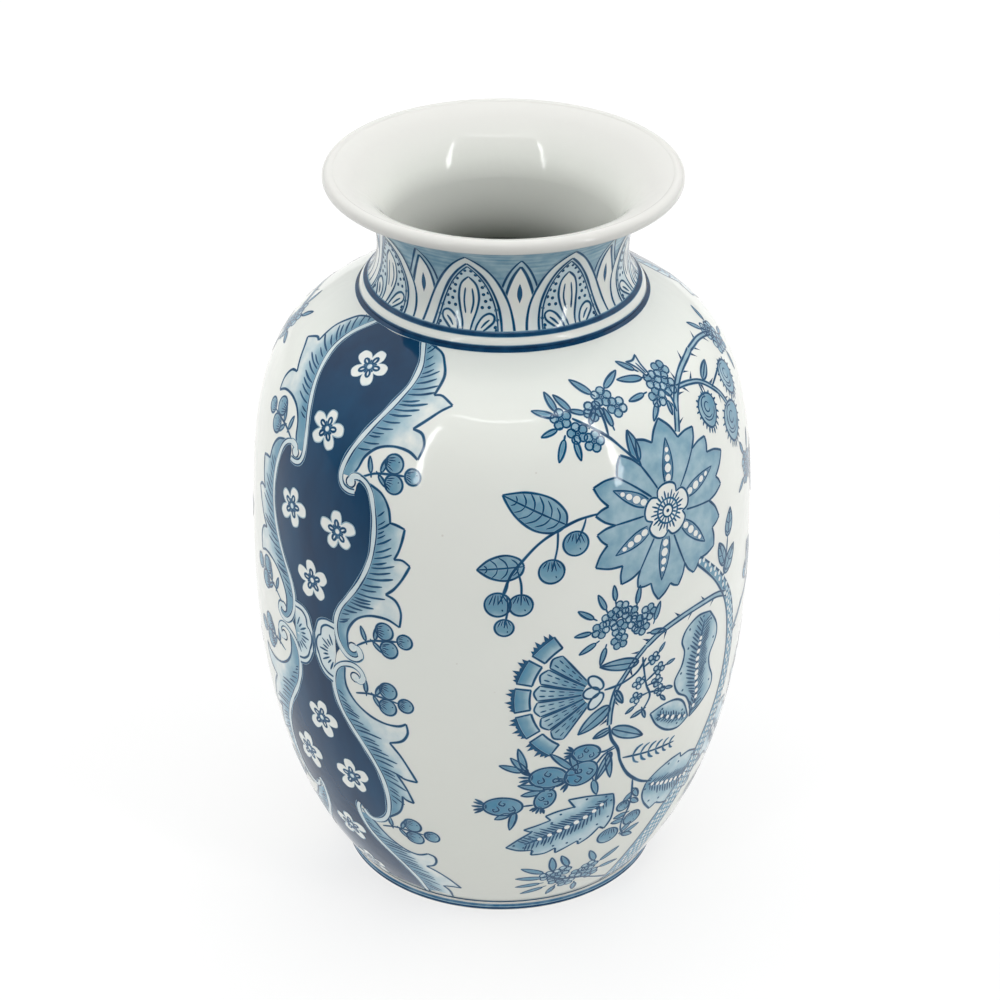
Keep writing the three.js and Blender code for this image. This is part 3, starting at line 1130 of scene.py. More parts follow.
# The ends of each border that curl to a knob: 0 is the upper end and -1 is the lower end.
KNOBS = [(), (0, -1), (0,), ()]
GROUND_EDGE = (
    [(12.6, 275)]
    + BORDERS[0][1:13]
    + [(9.2, 208.3), (11, 208.6), (11.4, 212), (12.8, 213.9)]
    + BORDERS[1][4:16]
    + [(7.2, 136), (6.6, 131)]
    + BORDERS[2][6:18]
    + [(13.5, 54.6), (11.2, 53.8), (9.4, 55.8), (7.6, 60)]
    + BORDERS[3][1:]
)
SCROLL_LEAVES = [
    [
        [(15, 274), (21.5, 271), (24.3, 266.5), (26, 260.5), (25, 252.3)],
        [(25, 252.3), (27.4, 252.6), (31, 249.3)],
        [(31, 249.3), (28.2, 246.5), (25.4, 242.5), (22.3, 238)],
        [(22.3, 238), (25, 236.8), (26.2, 232.5), (25.4, 227)],
        [(25.4, 227), (22.7, 229.5), (18.6, 230), (14.7, 228), (12, 223.5), (10.8, 218), (9.2, 213.5)],
    ],
    [
        [(13.6, 214), (17.8, 211.5), (20.1, 206.5), (20.9, 200.5)],
        [(20.9, 200.5), (22.5, 200.2), (24.5, 199.2)],
        [(24.5, 199.2), (24, 194), (23.3, 189.5), (22.3, 185.8)],
        [(22.3, 185.8), (24.3, 186.2), (26.1, 184.3)],
        [(26.1, 184.3), (24.3, 178), (22.3, 173), (20.4, 170)],
        [(20.4, 170), (22.8, 168.3), (24.1, 163.5), (23.8, 157)],
        [(23.8, 157), (20.8, 159.2), (16.8, 158.8), (13.5, 156), (11.3, 151.5), (10.3, 146.5), (10.6, 140.5)],
    ],
    [
        [(9.4, 131), (9.2, 126), (9.8, 121), (11.9, 116), (15.4, 112)]
        + [(19.3, 110.2), (22.8, 110.6), (24.8, 112.6)],
        [(24.8, 112.6), (25, 108), (23.4, 103.5), (20.2, 101)],
        [(20.2, 101), (22.7, 95.5), (24.6, 89.5), (26.3, 83.4)],
        [(26.3, 83.4), (23.2, 83.6), (21.1, 85.2)],
        [(21.1, 85.2), (23.2, 78.5), (24.7, 71)],
        [(24.7, 71), (22.8, 71.8), (21.8, 73.5)],
        [(21.8, 73.5), (21.4, 68), (20, 63), (16.6, 58)],
    ],
    [
        [(9.4, 54), (11.4, 51), (13, 47), (15.8, 42), (19.5, 38), (23, 37), (26, 39.4)],
        [(26, 39.4), (27.8, 38), (28, 34.5), (26.8, 31), (24.4, 29)],
        [(24.4, 29), (27.5, 26), (30.7, 21), (33.7, 14)],
        [(33.7, 14), (31, 14.2), (27.7, 13.4)],
        [(27.7, 13.4), (29.3, 9), (29.4, 2.2)],
    ],
]
# Which way the hatching leans along each lobe's leaves, and the part of the border that it follows
HATCHING = [(1, 0.06, 0.7), (1, 0.22, 0.74), (-1, 0.3, 0.77), (-1, 0.18, 0.95)]
# Each sprig is (degrees from the axis, up, turn), and each flower is (degrees from the axis, up).
BERRY_SPRIGS = [(12.5, 215.5, 4), (13.5, 144.0, 10), (12.8, 121.0, -8), (14.5, 51.0, -6)]
WHITE_FLOWERS = [(0.8, 256), (-1.2, 227.5), (-8.2, 190), (7.3, 190), (-0.2, 163.5)]
WHITE_FLOWERS += [(0.2, 99.5), (-8.4, 75.5), (7.4, 75), (0, 39), (-1, 11.5)]


def band_spot(side, offset, up):
    i = max(bisect.bisect_right([row[0] for row in BAND_AXIS], up) - 1, 0)
    i = min(i, len(BAND_AXIS) - 2)
    (low, a), (high, b) = BAND_AXIS[i], BAND_AXIS[i + 1]
    return a + (b - a) * (up - low) / (high - low) + side * offset, up


def band_path(side, points):
    return flow([band_spot(side, x, up) for x, up in points])


def band_ground(coat):
    edges = [band_path(side, GROUND_EDGE) for side in (1, -1)]
    coat.fill(edges[0] + edges[1][::-1], 0.5)


def white_flower(pen, radius=8.6):
    """Five uneven white petals with a dark-edged heart of five seeds."""
    kit = pen.kit
    petals = []
    for k in range(5):
        reach, sway = radius * random.uniform(0.88, 1.06), random.uniform(-4, 4)
        around = [(0.45, -36), (0.74, -26), (0.97, -13 + sway), (1.0, sway)]
        around += [(0.96, 12 + sway), (0.74, 25), (0.45, 36)]
        petals.append([pen.polar(reach * share, 90 + 72 * k + away) for share, away in around])
    for k in range(5):
        petals[k][-1] = petals[(k + 1) % 5][0]
    rim = [spot for petal in petals for spot in pen.path(petal)[:-1]]
    kit.pale.fill(rim, 0.05)
    kit.pale.line(rim + rim[:2], 0.45, 0.8, taper=1)
    for k in range(5):
        seed = pen.moved(*pen.polar(radius * 0.36, 90 + 72 * k), 72 * k)
        kit.detail.loop(seed.ring(0, 0, 0.85, 1.45), 1.0, 0.85)
        start, end = pen.polar(radius * 0.2, 126 + 72 * k), pen.polar(radius * 0.36, 126 + 72 * k)
        kit.detail.line(pen.path([start, end]), 0.9, 0.8)
    kit.pale.fill(pen.ring(0, 0, 1.5), 0.5)
    kit.detail.loop(pen.ring(0, 0, 1.5), 0.75, 0.7)


def scroll_leaf(kit, side, stretches, border):
    outline = []
    for stretch in stretches:
        outline += band_path(side, stretch)[:-1]
    inner = band_path(side, border)
    start = min(range(len(inner)), key=lambda i: math.dist(inner[i], outline[0]))
    end = min(range(len(inner)), key=lambda i: math.dist(inner[i], outline[-1]))
    closing = inner[min(start, end) : max(start, end) + 1]
    closing = closing[::-1] if start < end else closing
    scale = kit.wall.degree(outline[len(outline) // 2][1])
    near_border = closing[::4]

    def tone(spot):
        near = min(math.hypot((spot[0] - az) * scale, spot[1] - up) for az, up in near_border)
        return 0.76 - 0.62 * min(max(near - 1.5, 0) / 10, 1)

    kit.wash.fill(outline + closing, tone)
    for stretch in stretches:
        kit.ink.line(band_path(side, stretch), 1.1, taper=0.75)


def hatching(kit, side, border, lean, first, last):
    path = band_path(side, border)
    count = len(path)
    i = max(int(count * first), 1)
    while i < min(int(count * last), count - 1):
        scale = kit.wall.degree(path[i][1])
        dx = (path[i + 1][0] - path[i - 1][0]) * scale
        dy = path[i + 1][1] - path[i - 1][1]
        length = math.hypot(dx, dy)
        out = (-side * dy / length, side * dx / length)
        along = (-dx / length * lean, -dy / length * lean)
        share = (i / count - first) / (last - first)
        reach = (3.0 + 6.0 * math.sin(math.pi * min(share, 1))) * random.uniform(0.55, 1.2)
        points = []
        for t in (0.0, 0.5, 1.0):
            x = out[0] * (1.6 + reach * t) + along[0] * reach * (0.5 * t + 0.25 * t * t)
            y = out[1] * (1.6 + reach * t) + along[1] * reach * (0.5 * t + 0.25 * t * t)
            points.append((path[i][0] + x / scale, path[i][1] + y))
        kit.ink.line(flow(points), random.uniform(0.8, 1.15), taper=0.2)
        i += random.choice((2, 3, 3, 4))


def border_line(kit, side, border, knobs):
    """The pale line round a lobe, between dark edges. It swells to a knob where it curls inwards."""
    path = band_path(side, border)
    kit.ink.line(path, 3.4, 0.95, taper=0.9)
    kit.pale.line(path, 1.6, 0.36, taper=0.8)
    for end in knobs:
        curl = path[:9] if end == 0 else path[-9:]
        kit.ink.line(curl, 4.2, 0.95, taper=0.9)
        kit.pale.line(curl, 2.2, 0.22, taper=0.9)
        pen = Pen(kit, *path[end])
        kit.ink.fill(pen.ring(0, 0, 2.5), 0.9)
        kit.pale.fill(pen.ring(0, 0, 1.8), 0.22)


def berry_sprig(kit, side, offset, up, turn):
    """Three berries and three leaves on a short stem, pointing away from the band."""
    pen = Pen(kit, *band_spot(side, offset, up), turn=turn * side, mirror=side)
    kit.ink.line(pen.path([(-1, -0.5), (5, 2.2), (11, 3.0), (18, 3.2)]), 0.95)
    for x, y, radius in ((13.0, 7.2, 3.7), (13.6, -0.6, 3.7), (21.0, 3.2, 3.1)):
        berry(pen.moved(x, y, 80), radius)
    for x, y, turned_by, length in ((3.6, 2.2, 10, 6.5), (8.0, 3.2, -20, 6.5), (7.0, 2.0, -140, 6.0)):
        small_leaf(pen.moved(x, y, turned_by), length)


# A shell's outer edge, inner line and foot, as (degrees from the axis, up)
SHELL_RIM = [
    [(6.6, 149.3), (3.8, 149.2), (1.7, 147.2), (0.8, 143.5), (0.25, 140.2)],
    [(0.25, 140.2), (0.35, 137), (0.25, 134), (0.4, 130.5)],
    [(0.4, 130.5), (1.6, 126), (3.2, 122.8), (5.6, 121.3)],
]
SHELL_LINE = [
    [(6.6, 146.6), (4.3, 146.7), (2.7, 144.6), (2.3, 141), (1.6, 140.2)],
    [(1.6, 140.2), (0.9, 137.6), (0.85, 134.4), (1.6, 130.8)],
    [(1.6, 130.8), (2.4, 127.2), (4.0, 124.7), (5.8, 123.8)],
]
SHELL_FOOT = (6.9, 134.8)


def shell(kit, side):
    """One half of the knot where two lobes meet: a shell of three rounded lobes, open to the axis."""
    foot = band_spot(side, *SHELL_FOOT)
    rim = [spot for stretch in SHELL_RIM for spot in band_path(side, stretch)[:-1]]
    heart = [spot for stretch in SHELL_LINE for spot in band_path(side, stretch)[:-1]]
    kit.pale.fill(rim + [foot], 0.3)
    scale = kit.wall.degree(foot[1])

    def tone(spot):
        away = math.hypot((spot[0] - foot[0]) * scale, spot[1] - foot[1])
        return 1.0 - 0.85 * min(away / 12, 1)

    kit.pale.fill(heart + [foot], tone)
    for stretch in SHELL_RIM + SHELL_LINE:
        kit.detail.line(band_path(side, stretch), 0.85, taper=0.8)
    pen = Pen(kit, *foot, mirror=side)
    for k in range(9):
        degrees = 112 + 17 * k
        reach = 7.2 if k % 2 else 8.8
        kit.detail.line(pen.path([pen.polar(4.2, degrees), pen.polar(reach, degrees)]), 0.85, taper=0.3)


def dark_band(kit, ground):
    band_ground(ground)
    for side in (1, -1):
        for stretches, border, (lean, first, last) in zip(SCROLL_LEAVES, BORDERS, HATCHING):
            scroll_leaf(kit, side, stretches, border)
            hatching(kit, side, border, lean, first, last)
        shell(kit, side)
        for border, knobs in zip(BORDERS, KNOBS):
            border_line(kit, side, border, knobs)
        for offset, up, turn in BERRY_SPRIGS:
            berry_sprig(kit, side, offset, up, turn)
    for offset, up in WHITE_FLOWERS:
        white_flower(Pen(kit, *band_spot(1, offset, up), turn=random.uniform(-12, 12)))


# ---------------------------------------------------------------- the floral panel


def upper_sprays(kit):
    twig(kit, [(33.5, 222), (30, 228.5), (27, 234), (23, 239), (18.5, 243.5)], 1.1)
    twig(kit, [(27, 234), (27, 240), (26.5, 246)])
    leaf(Pen(kit, 33.5, 222, 8), 13, 4.5, 0, tone=0.7)
    spray(
        Pen(kit, 17.5, 240),
        [(-2.8, 3.8), (2.6, -2.4), (8.4, -6.4)],
        [(-5, 5, 70, 9), (-4, 7, 20, 9), (1.5, 6.5, 35, 9), (-5, 0, 110, 7)]
        + [(-3, -4, 160, 9), (1, -5, 190, 8), (8, 0, -30, 8)],
    )
    spray(
        Pen(kit, 27.5, 246.5),
        [(-3.8, -1.6), (1.4, 3.0), (6.2, -2.2)],
        [(-2, 5, 40, 10), (4, 6, -55, 10), (2, -9, 10, 8), (-7, -2, 70, 7)],
    )
    twig(kit, [(49, 234), (49.3, 240), (48, 244)])
    spray(
        Pen(kit, 47.5, 246.5),
        [(-3.4, -4.4), (-1.0, 2.2), (4.2, -2.4), (5.4, 4.4)],
        [(-5, 5, 75, 11), (-5.5, 9, 40, 8), (-8.5, -1, 95, 8), (-5, -6, 140, 8), (0, -7, 175, 6)],
    )
    trumpet = Pen(kit, 46.2, 251.5, 12)
    outline = trumpet.path([(-0.8, 0), (-1.4, 5), (-3, 9)])[:-1]
    outline += trumpet.path([(-3, 9), (0, 8), (3, 9)])[:-1] + trumpet.path([(3, 9), (1.4, 5), (0.8, 0)])
    kit.pale.fill(outline, 0.1)
    kit.detail.loop(outline, 0.8)
    kit.detail.line(trumpet.path([(0, 1), (0, 6.5)]), 0.5)


def left_branch(kit):
    twig(kit, [(22, 206), (17, 204.8), (12, 201.2), (8, 196.6), (4.5, 190), (2, 184), (0, 174)], 1.2)
    for start, end, radius in (
        ((19, 205), (16.5, 195.5), 4.9),
        ((12.5, 201.5), (11, 185), 4.9),
        ((3.4, 187), (4.3, 171.5), 4.5),
        ((1.5, 181), (-0.7, 171.8), 5.0),
        ((1.2, 176), (0.7, 161.8), 3.6),
    ):
        twig(kit, [start, ((start[0] + end[0]) / 2 + 0.5, (start[1] + end[1]) / 2 + 1), end], 0.8)
        berry(Pen(kit, *end), radius)
    leaf(Pen(kit, 14.5, 203.6, 61), 27, 14, 6)
    leaf(Pen(kit, 5, 188, 95), 18, 10.5, 4)


def thorn_branch(kit):
    thorny_stem(kit, [(46.8, 227), (48.8, 234), (51.2, 239.6), (55, 244.2), (60, 247.4), (68, 249.8)], 2.0, 7)
    thorny_stem(kit, [(68, 249.8), (75, 249.4), (80, 247.6), (84, 245)], 1.7, 4)
    thorny_stem(kit, [(53, 242), (58, 240.8), (63, 237.6), (68, 229.5), (70, 223)], 1.5, 6)
    leaf(Pen(kit, 64, 238, -65), 10.5, 3.4, 0)
    twig(kit, [(61.5, 238.6), (61, 232)])
    twig(kit, [(66, 233), (70, 234.5), (75, 236)])
    burr(Pen(kit, 60.4, 227), 11.5, 13.5)
    burr(Pen(kit, 76.4, 229.5), 12, 14)
    burr(Pen(kit, 70.4, 214.8), 14, 16)
    spray(
        Pen(kit, 85.5, 242),
        [(-2, 4), (3, 2), (-2.5, -3), (3, -4.5)],
        [(-4, 7, 30, 8), (5, 6, -40, 8), (7, -3, -100, 8), (1, -9, 175, 8)],
    )


def trunk_and_sprigs(kit):
    trunk(
        kit,
        [(49.5, 171), (54, 163.5), (58.2, 155.5), (62, 146), (64.4, 136), (65.8, 125), (66.3, 113)]
        + [(65.8, 101), (64, 89), (61, 77), (57.5, 65), (53.5, 53), (50, 41), (47.5, 29), (46, 17)]
        + [(45.5, 2.5)],
        [3.2, 4, 5.2, 6.4, 7.4, 8.4, 9.4, 10.4, 12, 14, 17],
    )
    twig(kit, [(59.5, 152), (61, 161), (62, 172)])
    leaf(Pen(kit, 62, 171.5, -12), 12, 6, 3, tone=0.55)
    leaf(Pen(kit, 60.5, 160, 22), 13, 5.4, 3, tone=0.55)
    leaf(Pen(kit, 60.5, 156, -42), 13, 7, 3, tone=0.45)


def middle_cluster(kit):
    spray(
        Pen(kit, 28, 157),
        [(-10.2, -0.6), (-6.2, 3.4), (-1.6, 6.8), (2.6, 3.4), (-2.2, -1.6)]
        + [(5.2, -1.4), (11, 1.6), (-2, -7.4), (7.8, -4)],
        [(-8, 8, 25, 8), (-4, 11, 5, 7), (-13, 5, 55, 8), (-14, -1, 95, 7), (-12, -6, 120, 8)]
        + [(-8, -9, 165, 8), (5.5, 7, -10, 8), (14, -3, -20, 8), (12, -8, -100, 8)],
        3.6,
    )


def fruiting_stem(kit):
    thorny_stem(kit, [(62.5, 145), (57, 149.2), (50, 150.4), (44, 149.8), (38, 147.4), (34, 143.6)], 2.0, 7)
    thorny_stem(kit, [(34, 143.6), (31, 138.6), (28.4, 132.6), (26.4, 127), (25.4, 119), (25.2, 111)], 1.6, 5)
    stem_end = [(25.2, 111), (26, 104), (28, 97.6), (29, 91), (31, 84), (33.4, 79), (36.6, 74.6), (40, 72)]
    twig(kit, stem_end, 1.5)
    twig(kit, [(34, 138), (31.5, 132.6), (27.6, 129.6), (23.5, 128.6)], 1.1)
    leaf(Pen(kit, 32, 137.4, 82), 17.5, 5, 0)
    leaf(Pen(kit, 25, 120.5, 131), 17, 6, 0)
    leaf(Pen(kit, 26, 108.6, -119), 17, 5.5, 0)
    leaf(Pen(kit, 25.6, 109, 112), 8, 3, 0)
    leaf(Pen(kit, 26.2, 127, -152), 8, 2.6, 0)
    leaf(Pen(kit, 26.3, 97, 158), 15, 3.4, 0)
    fan_flower(Pen(kit, 21.8, 128.6, 92))


def heart_sprig(kit):
    twig(kit, [(33, 139), (33.6, 132), (34.4, 125), (35.6, 119), (33.8, 113)], 0.9)
    pairs = [((33.4, 134), (36.2, 136.4)), ((33.8, 130), (32.2, 127.2)), ((34.4, 127), (37.8, 130.6))]
    pairs += [((34.6, 124.5), (37.4, 125)), ((35, 121), (38.4, 120)), ((35, 121), (31.8, 120.4))]
    for start, end in pairs:
        twig(kit, [start, end], 0.9)
        blossom(Pen(kit, *end), 2.7, 4, 0.25)
    leaflets = [(37.6, 138.4, -40), (40, 131, -80), (40, 120, -110), (31.4, 116.5, 120), (38.8, 117, -140)]
    for azimuth, up, turn in leaflets:
        small_leaf(Pen(kit, azimuth, up, turn), 4.6)
    small_leaf(Pen(kit, 33.8, 113.5, 110), 6)
    small_leaf(Pen(kit, 33.8, 113.5, 200), 5)


def hanging_leaf(kit):
    beaded_leaf(
        kit,
        [
            [(54.5, 144), (50, 145.6), (46.2, 143), (44.6, 138), (45.6, 132.5), (45, 126.5)]
            + [(43, 120.5), (44.4, 114), (47.6, 109.4), (49.6, 103), (50, 97.4)],
            [(50, 97.4), (53.6, 100), (57.6, 104.8), (58, 110), (56, 117)]
            + [(55.6, 123), (58, 129.6), (57.6, 136), (54.5, 144)],
        ],
        [(50.2, 98.5), (51.6, 106), (50.8, 116), (50.6, 126), (51.4, 135), (52.6, 142)],
        beads=11,
        bead=1.25,
        hatch=6.4,
    )
    beaded_leaf(
        kit,
        [
            [(49.4, 98), (46, 95.6), (42, 97.6), (38.4, 103), (36.2, 109.8)],
            [(36.2, 109.8), (40, 111.6), (44, 111), (47, 107), (49.4, 98)],
        ],
        [(48.8, 99), (45, 101.6), (41.4, 104.6), (38.4, 107.8)],
        beads=5,
        bead=1.1,
        hatch=3,
        specks=4,
    )


def bud_group(kit):
    twig(kit, [(27.4, 98.6), (24.6, 96.6), (22.6, 92)], 0.9)
    twig(kit, [(27, 99.6), (24.8, 98.2), (22.8, 98.4)], 0.9)
    twig(kit, [(17.6, 89), (15.6, 89.4)], 0.9)
    twig(kit, [(13, 84), (11.6, 82)], 0.9)
    twig(kit, [(8, 75), (5.2, 74.6)], 0.9)
    bud(Pen(kit, 23.4, 98, 78), 12, 8.2)
    bud(Pen(kit, 22.8, 92.4, 118), 14, 11.5)
    bud(Pen(kit, 15.6, 88.6, 84), 15, 10.6)
    bud(Pen(kit, 12, 83, 158), 11, 8)
    bud(Pen(kit, 5.4, 74.6, 90), 15.5, 10)
    for azimuth, up, turn, length in (
        (6.4, 92.6, 40, 11),
        (5.2, 93.6, 70, 10),
        (5.8, 94, 15, 12),
        (17, 92, 45, 14),
        (18, 91.4, 20, 10),
        (25.4, 96.8, 190, 14),
        (22.4, 84, 195, 9),
        (10.4, 83.4, 75, 11),
        (9.6, 82, 100, 8),
        (3.6, 71.4, 170, 11),
        (2.4, 70.6, 120, 7),
    ):
        small_leaf(Pen(kit, azimuth, up, turn), length, 2.6)
    fern(Pen(kit, 29.6, 92, -97), 27, 6, 5.5)


def low_leaves(kit):
    beaded_leaf(
        kit,
        [
            [(28.6, 73), (26, 74), (21.5, 75.4), (16.6, 75.6)],
            [(16.6, 75.6), (18.4, 70.8)],
            [(18.4, 70.8), (14.4, 69.8), (11.2, 67.8)],
            [(11.2, 67.8), (12.6, 65)],
            [(12.6, 65), (9.6, 62.8), (6, 60.4)],
            [(6, 60.4), (8, 58.6)],
            [(8, 58.6), (4.6, 54), (1.6, 49.2)],
            [(1.6, 49.2), (5, 47), (8.6, 46.8)],
            [(8.6, 46.8), (8.4, 43.4)],
            [(8.4, 43.4), (12, 43.8), (14.8, 46.6)],
            [(14.8, 46.6), (15, 43)],
            [(15, 43), (18, 46), (20.8, 48.8)],
            [(20.8, 48.8), (21.2, 46.2)],
            [(21.2, 46.2), (24, 49.6), (26.4, 54.6)],
            [(26.4, 54.6), (28, 52.6)],
            [(28, 52.6), (29.4, 58), (29.4, 66), (28.6, 73)],
        ],
        [(27.4, 71), (23, 64.6), (17.6, 59.6), (11.4, 54.8), (6.4, 51)],
        beads=8,
        bead=1.25,
        hatch=6,
        specks=16,
    )
    beaded_leaf(
        kit,
        [
            [(38.4, 72), (41.4, 76), (45.6, 78.6), (49.4, 79)],
            [(49.4, 79), (50, 76.4)],
            [(50, 76.4), (53.4, 76.2), (57.4, 73)],
            [(57.4, 73), (57, 70)],
            [(57, 70), (60, 67.6), (63.6, 62)],
            [(63.6, 62), (60.4, 60.6), (59, 58)],
            [(59, 58), (59.4, 53.6), (58.6, 51.4)],
            [(58.6, 51.4), (54.6, 53.6), (51, 50.4)],
            [(51, 50.4), (47.4, 52.6), (44.6, 55.4)],
            [(44.6, 55.4), (42.6, 53.4)],
            [(42.6, 53.4), (39.4, 60), (38, 66), (38.4, 72)],
        ],
        [(39.4, 70.6), (45, 66.6), (51, 63.6), (58, 61.4)],
        beads=8,
        bead=1.2,
        hatch=6,
        specks=12,
    )


def berry_chain(kit):
    twig(kit, [(33.6, 78), (34.2, 70), (34.4, 62), (33.4, 54), (33.8, 48), (35.6, 43.4)], 0.9)
    for azimuth, up, radius in ((32.4, 63.4, 2.9), (36.6, 53.2, 4.0), (30, 46.6, 4.6)):
        berry(Pen(kit, azimuth, up), radius)
    for azimuth, up, turn, length in (
        (34.4, 70, 140, 6),
        (34.4, 72, -150, 7),
        (34.4, 66, -130, 6),
        (34, 58, 100, 6),
        (33.6, 54, 85, 6),
        (35.4, 44, -70, 8),
        (35, 44, -120, 7),
        (34.4, 46, -40, 6),
    ):
        small_leaf(Pen(kit, azimuth, up, turn), length, 2.4)


def foot_sprig(kit):
    twig(kit, [(40, 6), (33, 12), (27, 17), (20, 20), (15, 24)], 1.1)
    spray(
        Pen(kit, 20, 20),
        [(-7.4, 5), (-3.2, 0.4), (1.6, -3.6), (6, 2.6), (10.4, 6.2), (-1.8, 7.4), (12, -1)],
        [(-10, 8, 62, 11), (-10, 4, 85, 11), (-6, 9, 10, 11), (0, 11, 25, 10), (12, 10, 25, 10)]
        + [(15, 8, -50, 10), (-10, -1, 100, 10), (-8, -5, 120, 10), (-3, -6, 165, 8)]
        + [(16, 2, -90, 9), (6, -7, 190, 8)],
        3.8,
    )


def far_side(kit):
    """The panel beyond the trunk, which faces away from the front."""
    thorny_stem(kit, [(66, 120), (72, 128), (79, 134), (86, 142), (90, 152), (90, 164)], 1.8, 7)
    thorny_stem(kit, [(79, 134), (86, 131), (92, 122), (94, 112)], 1.5, 4)
    twig(kit, [(90, 164), (88, 174), (83, 182), (78, 188)], 1.1)
    star_flower(Pen(kit, 86, 92, 20, 0.62))
    leaf(Pen(kit, 84, 140, 40), 20, 10, 5)
    leaf(Pen(kit, 90, 158, -60), 18, 9, 5)
    leaf(Pen(kit, 89, 170, 48), 17, 8, 4)
    leaf(Pen(kit, 84, 181, -30), 15, 7, 4)
    spray(
        Pen(kit, 77, 190),
        [(-3, 3), (2.6, 1.4), (-1.6, -3.4), (4.6, -3.4)],
        [(-4, 7, 30, 8), (3, 6, -20, 8), (7, 1, -80, 8), (-6, -3, 110, 8)],
    )
    for azimuth, up, radius in ((80, 150, 4.0), (76, 143, 3.6), (96, 104, 4.2)):
        berry(Pen(kit, azimuth, up), radius)
    twig(kit, [(84, 138), (82, 145), (80.5, 149)], 0.8)
    twig(kit, [(79, 135), (77, 139), (76, 142)], 0.8)
    beaded_leaf(
        kit,
        [
            [(63, 84), (68, 88), (72, 86)],
            [(72, 86), (71, 82)],
            [(71, 82), (76, 78), (78, 72)],
            [(78, 72), (75, 72)],
            [(75, 72), (77, 64), (78, 56)],
            [(78, 56), (70, 58), (65, 64)],
            [(65, 64), (62, 62)],
            [(62, 62), (61, 74), (63, 84)],
        ],
        [(63.6, 82), (67, 74), (72, 66), (76, 59)],
        beads=6,
        hatch=5,
    )
    fern(Pen(kit, 60, 40, -60), 24, 6, 6)
    spray(
        Pen(kit, 76, 34),
        [(-4, 3), (1.6, 0.6), (6.2, 3.8), (-1, -4.4)],
        [(-6, 6, 50, 9), (1, 7, 0, 9), (9, 6, -50, 9), (-5, -6, 140, 8), (5, -5, -140, 8)],
    )
    twig(kit, [(58, 26), (66, 30), (72, 33)], 1.0)


def floral_panel(kit):
    trunk_and_sprigs(kit)
    star_flower(Pen(kit, 40, 199))
    upper_sprays(kit)
    left_branch(kit)
    thorn_branch(kit)
    middle_cluster(kit)
    fruiting_stem(kit)
    heart_sprig(kit)
    hanging_leaf(kit)
    bud_group(kit)
    low_leaves(kit)
    berry_chain(kit)
    foot_sprig(kit)
    far_side(kit)


# ---------------------------------------------------------------- the neck and the rings

NECK_PETALS = 8
NECK_FIRST = -15.0
# The right side of a petal, as (degrees from its middle, up), and the dots inside it, in millimetres
PETAL_PROFILE = [(20.0, 6.4), (19.5, 11), (18.1, 16.5), (15.6, 22), (12.2, 27.5), (8.2, 32.4), (3.9, 36.7)]
PETAL_PROFILE += [(0, 40.2)]
PETAL_TOP = PETAL_PROFILE[-1][1]
PETAL_DOTS = [(5.2, 8.8), (7.8, 9.0), (6.4, 11.4), (8.4, 12.2), (5.6, 14.2), (7.4, 15.0), (5.2, 17.2)]
PETAL_DOTS += [(6.4, 18), (4.4, 20.2), (2.8, 22.6), (1.2, 24.4), (10.8, 1.4), (11.2, 4.2), (10.4, 8.0)]
PETAL_DOTS += [(11.4, 0.2)]


def petal_path(kit, azimuth, shrink, lift, side):
    """One side of an arch inside the full petal, by a share of its width and a length in millimetres."""
    points = [(azimuth + side * x * shrink, up - lift * (up / PETAL_TOP) ** 2) for x, up in PETAL_PROFILE]
    return flow(points, kit.wall, 0.8)


def arch(kit, coat, azimuth, shrink, lift, width):
    for side in (-1, 1):
        coat.line(petal_path(kit, azimuth, shrink, lift, side), width, taper=0.9)


def arch_outline(kit, azimuth, shrink, lift):
    left = petal_path(kit, azimuth, shrink, lift, -1)
    right = petal_path(kit, azimuth, shrink, lift, 1)
    return right + left[-2::-1]


def neck_petal(kit, azimuth):
    """A pointed petal: a white rim round a pale ground, which holds dots, a drop and two curled leaves."""
    kit.pale.fill(arch_outline(kit, azimuth, 1.0, 0), 0.12)
    arch(kit, kit.detail, azimuth, 1.0, 0, 0.9)
    kit.ground.fill(arch_outline(kit, azimuth, 0.74, 4.6), 0.42)
    arch(kit, kit.top, azimuth, 0.74, 4.6, 0.9)
    arch(kit, kit.top, azimuth, 0.66, 6.4, 0.5)
    pen = Pen(kit, azimuth, 7)
    drop = [(1.5, -0.4), (2.0, 3), (3.3, 8), (3.9, 13), (2.9, 18.2), (0, 21.6)]
    right, left = pen.path(drop), pen.path([(-x, y) for x, y in drop])
    kit.over.fill(right + left[-2::-1], 0.05)
    for path in (right, left):
        kit.top.line(path, 0.8)
    for side in (-1, 1):
        curl = Pen(kit, azimuth, 7, mirror=side)
        kit.top.line(curl.path([(1.0, 6), (1.8, 11), (1.3, 16.5)]), 0.6, taper=0.3)
        tear = [(3.4, -0.4), (3.9, 2.2), (5.6, 5.2), (8.0, 6.6), (9.9, 5.6), (9.9, 3.4), (8.0, 1.2)]
        tear += [(6.4, -0.4)]
        curled = curl.path(tear)
        kit.over.fill(curled, 0.15)
        kit.top.line(curled, 0.8, taper=0.8)
        kit.top.line(curl.path([(5.4, 0.8), (6.8, 2.8), (8.3, 4.2)]), 0.8, taper=0.3)
        for x, y in PETAL_DOTS:
            kit.top.fill(curl.ring(x, y, 0.72), 0.8)


def neck_gap(kit, azimuth):
    """The pointed arch that shows between two big petals."""
    kit.wash.fill(arch_outline(kit, azimuth, 0.56, 1.6), 0.3)
    arch(kit, kit.ink, azimuth, 0.56, 1.6, 0.9)
    kit.behind.fill(arch_outline(kit, azimuth, 0.4, 5.6), 0.02)
    arch(kit, kit.behind_ink, azimuth, 0.4, 5.6, 1.2)
    pen = Pen(kit, azimuth, 17.5)
    mark = [(0, 0), (0.95, 3), (0.8, 6), (0, 8.6)]
    right, left = pen.path(mark), pen.path([(-x, y) for x, y in mark])
    kit.behind_ink.fill(right + left[-2::-1], 0.65)


